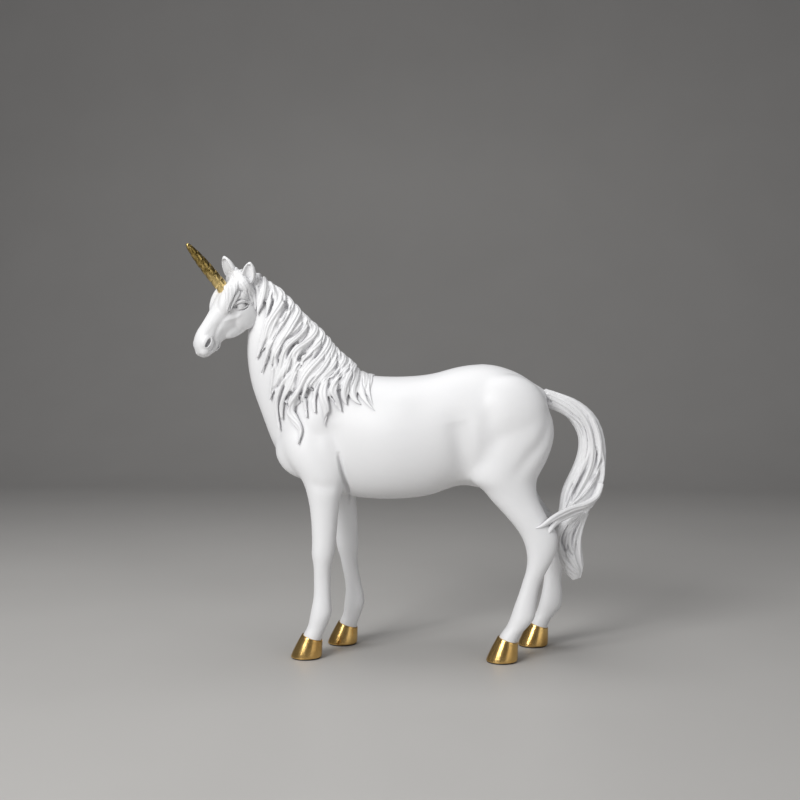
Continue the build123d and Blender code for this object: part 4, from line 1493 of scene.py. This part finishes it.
def hoof(front, left, material):
    """Hoof: a flared wall from the sole to the sloping coronet, with rounded edges."""
    rows = leg_rows(front, left)
    centre, depth, width = min(rows, key=lambda row: abs(row[0].z - CORONET_HEIGHT))
    sole = Vector((centre.x - HOOF_REACH, centre.y, PAD_THICKNESS))
    rings = []
    for share, trim in HOOF_ROWS:
        slope = radians(CORONET_SLOPE * share)
        turn = section_turn((cos(slope), 0, -sin(slope)), (sin(slope), 0, cos(slope)))
        half_length = blend(HOOF_LENGTH / 2, depth + CORONET_LEDGE, share) * trim
        half_width = blend(HOOF_WIDTH / 2, width + CORONET_LEDGE, share) * trim
        rings.append((sole + (centre - sole) * share, turn, half_length, half_width))
    hand = f"{'front' if front else 'hind'}_{'left' if left else 'right'}"
    piece = tube(f"gold_hoof_{hand}", rings, sides=40)
    sharp = radians(SHARP_ANGLE)
    with_modifier(piece, "BEVEL", width=HOOF_BEVEL, segments=3, limit_method="ANGLE", angle_limit=sharp)
    with_modifier(piece, "SUBSURF", levels=1, render_levels=1)
    settle(piece, material)
    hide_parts(f"hoof_{hand}")


# Stage, in metres

FLOOR_SIZE = 6
FLOOR_MIDDLE = (0, -1.0, 0)
BACKDROP_HEIGHT = 3
BACKDROP_COVE = 0.8
# Soft boxes: place, size, power; all look at one point of the figurine
LIGHTS = {
    "overhead": ((-0.10, 0.0, 1.15), 0.8, 5.0),
    "key": ((-0.68, -1.02, 0.74), 0.6, 14.5),
    "fill": ((0.85, -0.95, 0.40), 0.8, 2.4),
}
LIGHT_TARGET = (0, 0, 0.14)
ROOM_COLOUR = (0.62, 0.62, 0.65, 1)
ROOM_STRENGTH = 0.23


def make_stage():
    """Pale floor that runs up into a backdrop."""
    bpy.ops.object.select_all(action="DESELECT")
    bpy.ops.mesh.primitive_plane_add(size=FLOOR_SIZE, location=FLOOR_MIDDLE)
    floor = bpy.context.object
    floor.name = "floor"
    apply_place(floor)
    edit()
    select_points(floor, [v.index for v in floor.data.vertices if v.co.y > 0])
    bpy.ops.mesh.extrude_region_move(TRANSFORM_OT_translate={"value": (0, 0, BACKDROP_HEIGHT)})
    edit(False)
    with_modifier(floor, "BEVEL", width=BACKDROP_COVE, segments=12, affect="EDGES", limit_method="ANGLE")
    bpy.ops.object.shade_smooth()
    finish = Finish("pale_floor")
    cloud = finish.noise(scale=6.0, detail=4.0)
    finish.set(
        base_color=finish.mix(cloud, *FLOOR_CLOUDS),
        roughness=0.45 + 0.1 * cloud,
    )
    floor.data.materials.append(finish.material)


def soft_light(name, place, size, power):
    """Square soft box that looks at the figurine."""
    bpy.ops.object.select_all(action="DESELECT")
    aim = (Vector(LIGHT_TARGET) - Vector(place)).to_track_quat("-Z", "Y").to_euler()
    bpy.ops.object.light_add(type="AREA", location=place, rotation=aim)
    light = bpy.context.object
    light.name = name
    light.data.size = size
    light.data.energy = power


def make_lights():
    """Large box overhead, a key from the front left, a low fill and a dim room."""
    for name, settings in LIGHTS.items():
        soft_light(name, *settings)
    world = bpy.data.worlds.new("studio")
    bpy.context.scene.world = world
    world.use_nodes = True
    room = world.node_tree.nodes["Background"].inputs
    room["Color"].default_value = ROOM_COLOUR
    room["Strength"].default_value = ROOM_STRENGTH
    bpy.context.scene.view_settings.view_transform = "Standard"


make_camera()
make_stage()
make_lights()
lacquer, plate, old_plate = white_lacquer(), gold_plate(), old_gold_plate()
steel, rubber = drawn_steel(), dark_pad()

casting, face = skin(), head()
skin_tree = skin_search(casting, face)
for piece in (casting, face):
    thin_out(piece)
    settle(piece, lacquer)
mane(skin_tree, lacquer)
forelock(skin_tree, lacquer)
tail(lacquer)
horn(old_plate)
for front in (True, False):
    for left in (True, False):
        hoof(front, left, plate)
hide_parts("head")
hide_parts("body", *[name for name in NODES if name.startswith("leg_")])

FINISHES = {"wire": steel, "dowel": steel, "pad": rubber, "hoof": plate, "horn": old_plate}
for name, node in NODES.items():
    kind = name.split("_")[0]
    node.data.materials.clear()
    node.data.materials.append(FINISHES.get(kind, lacquer))
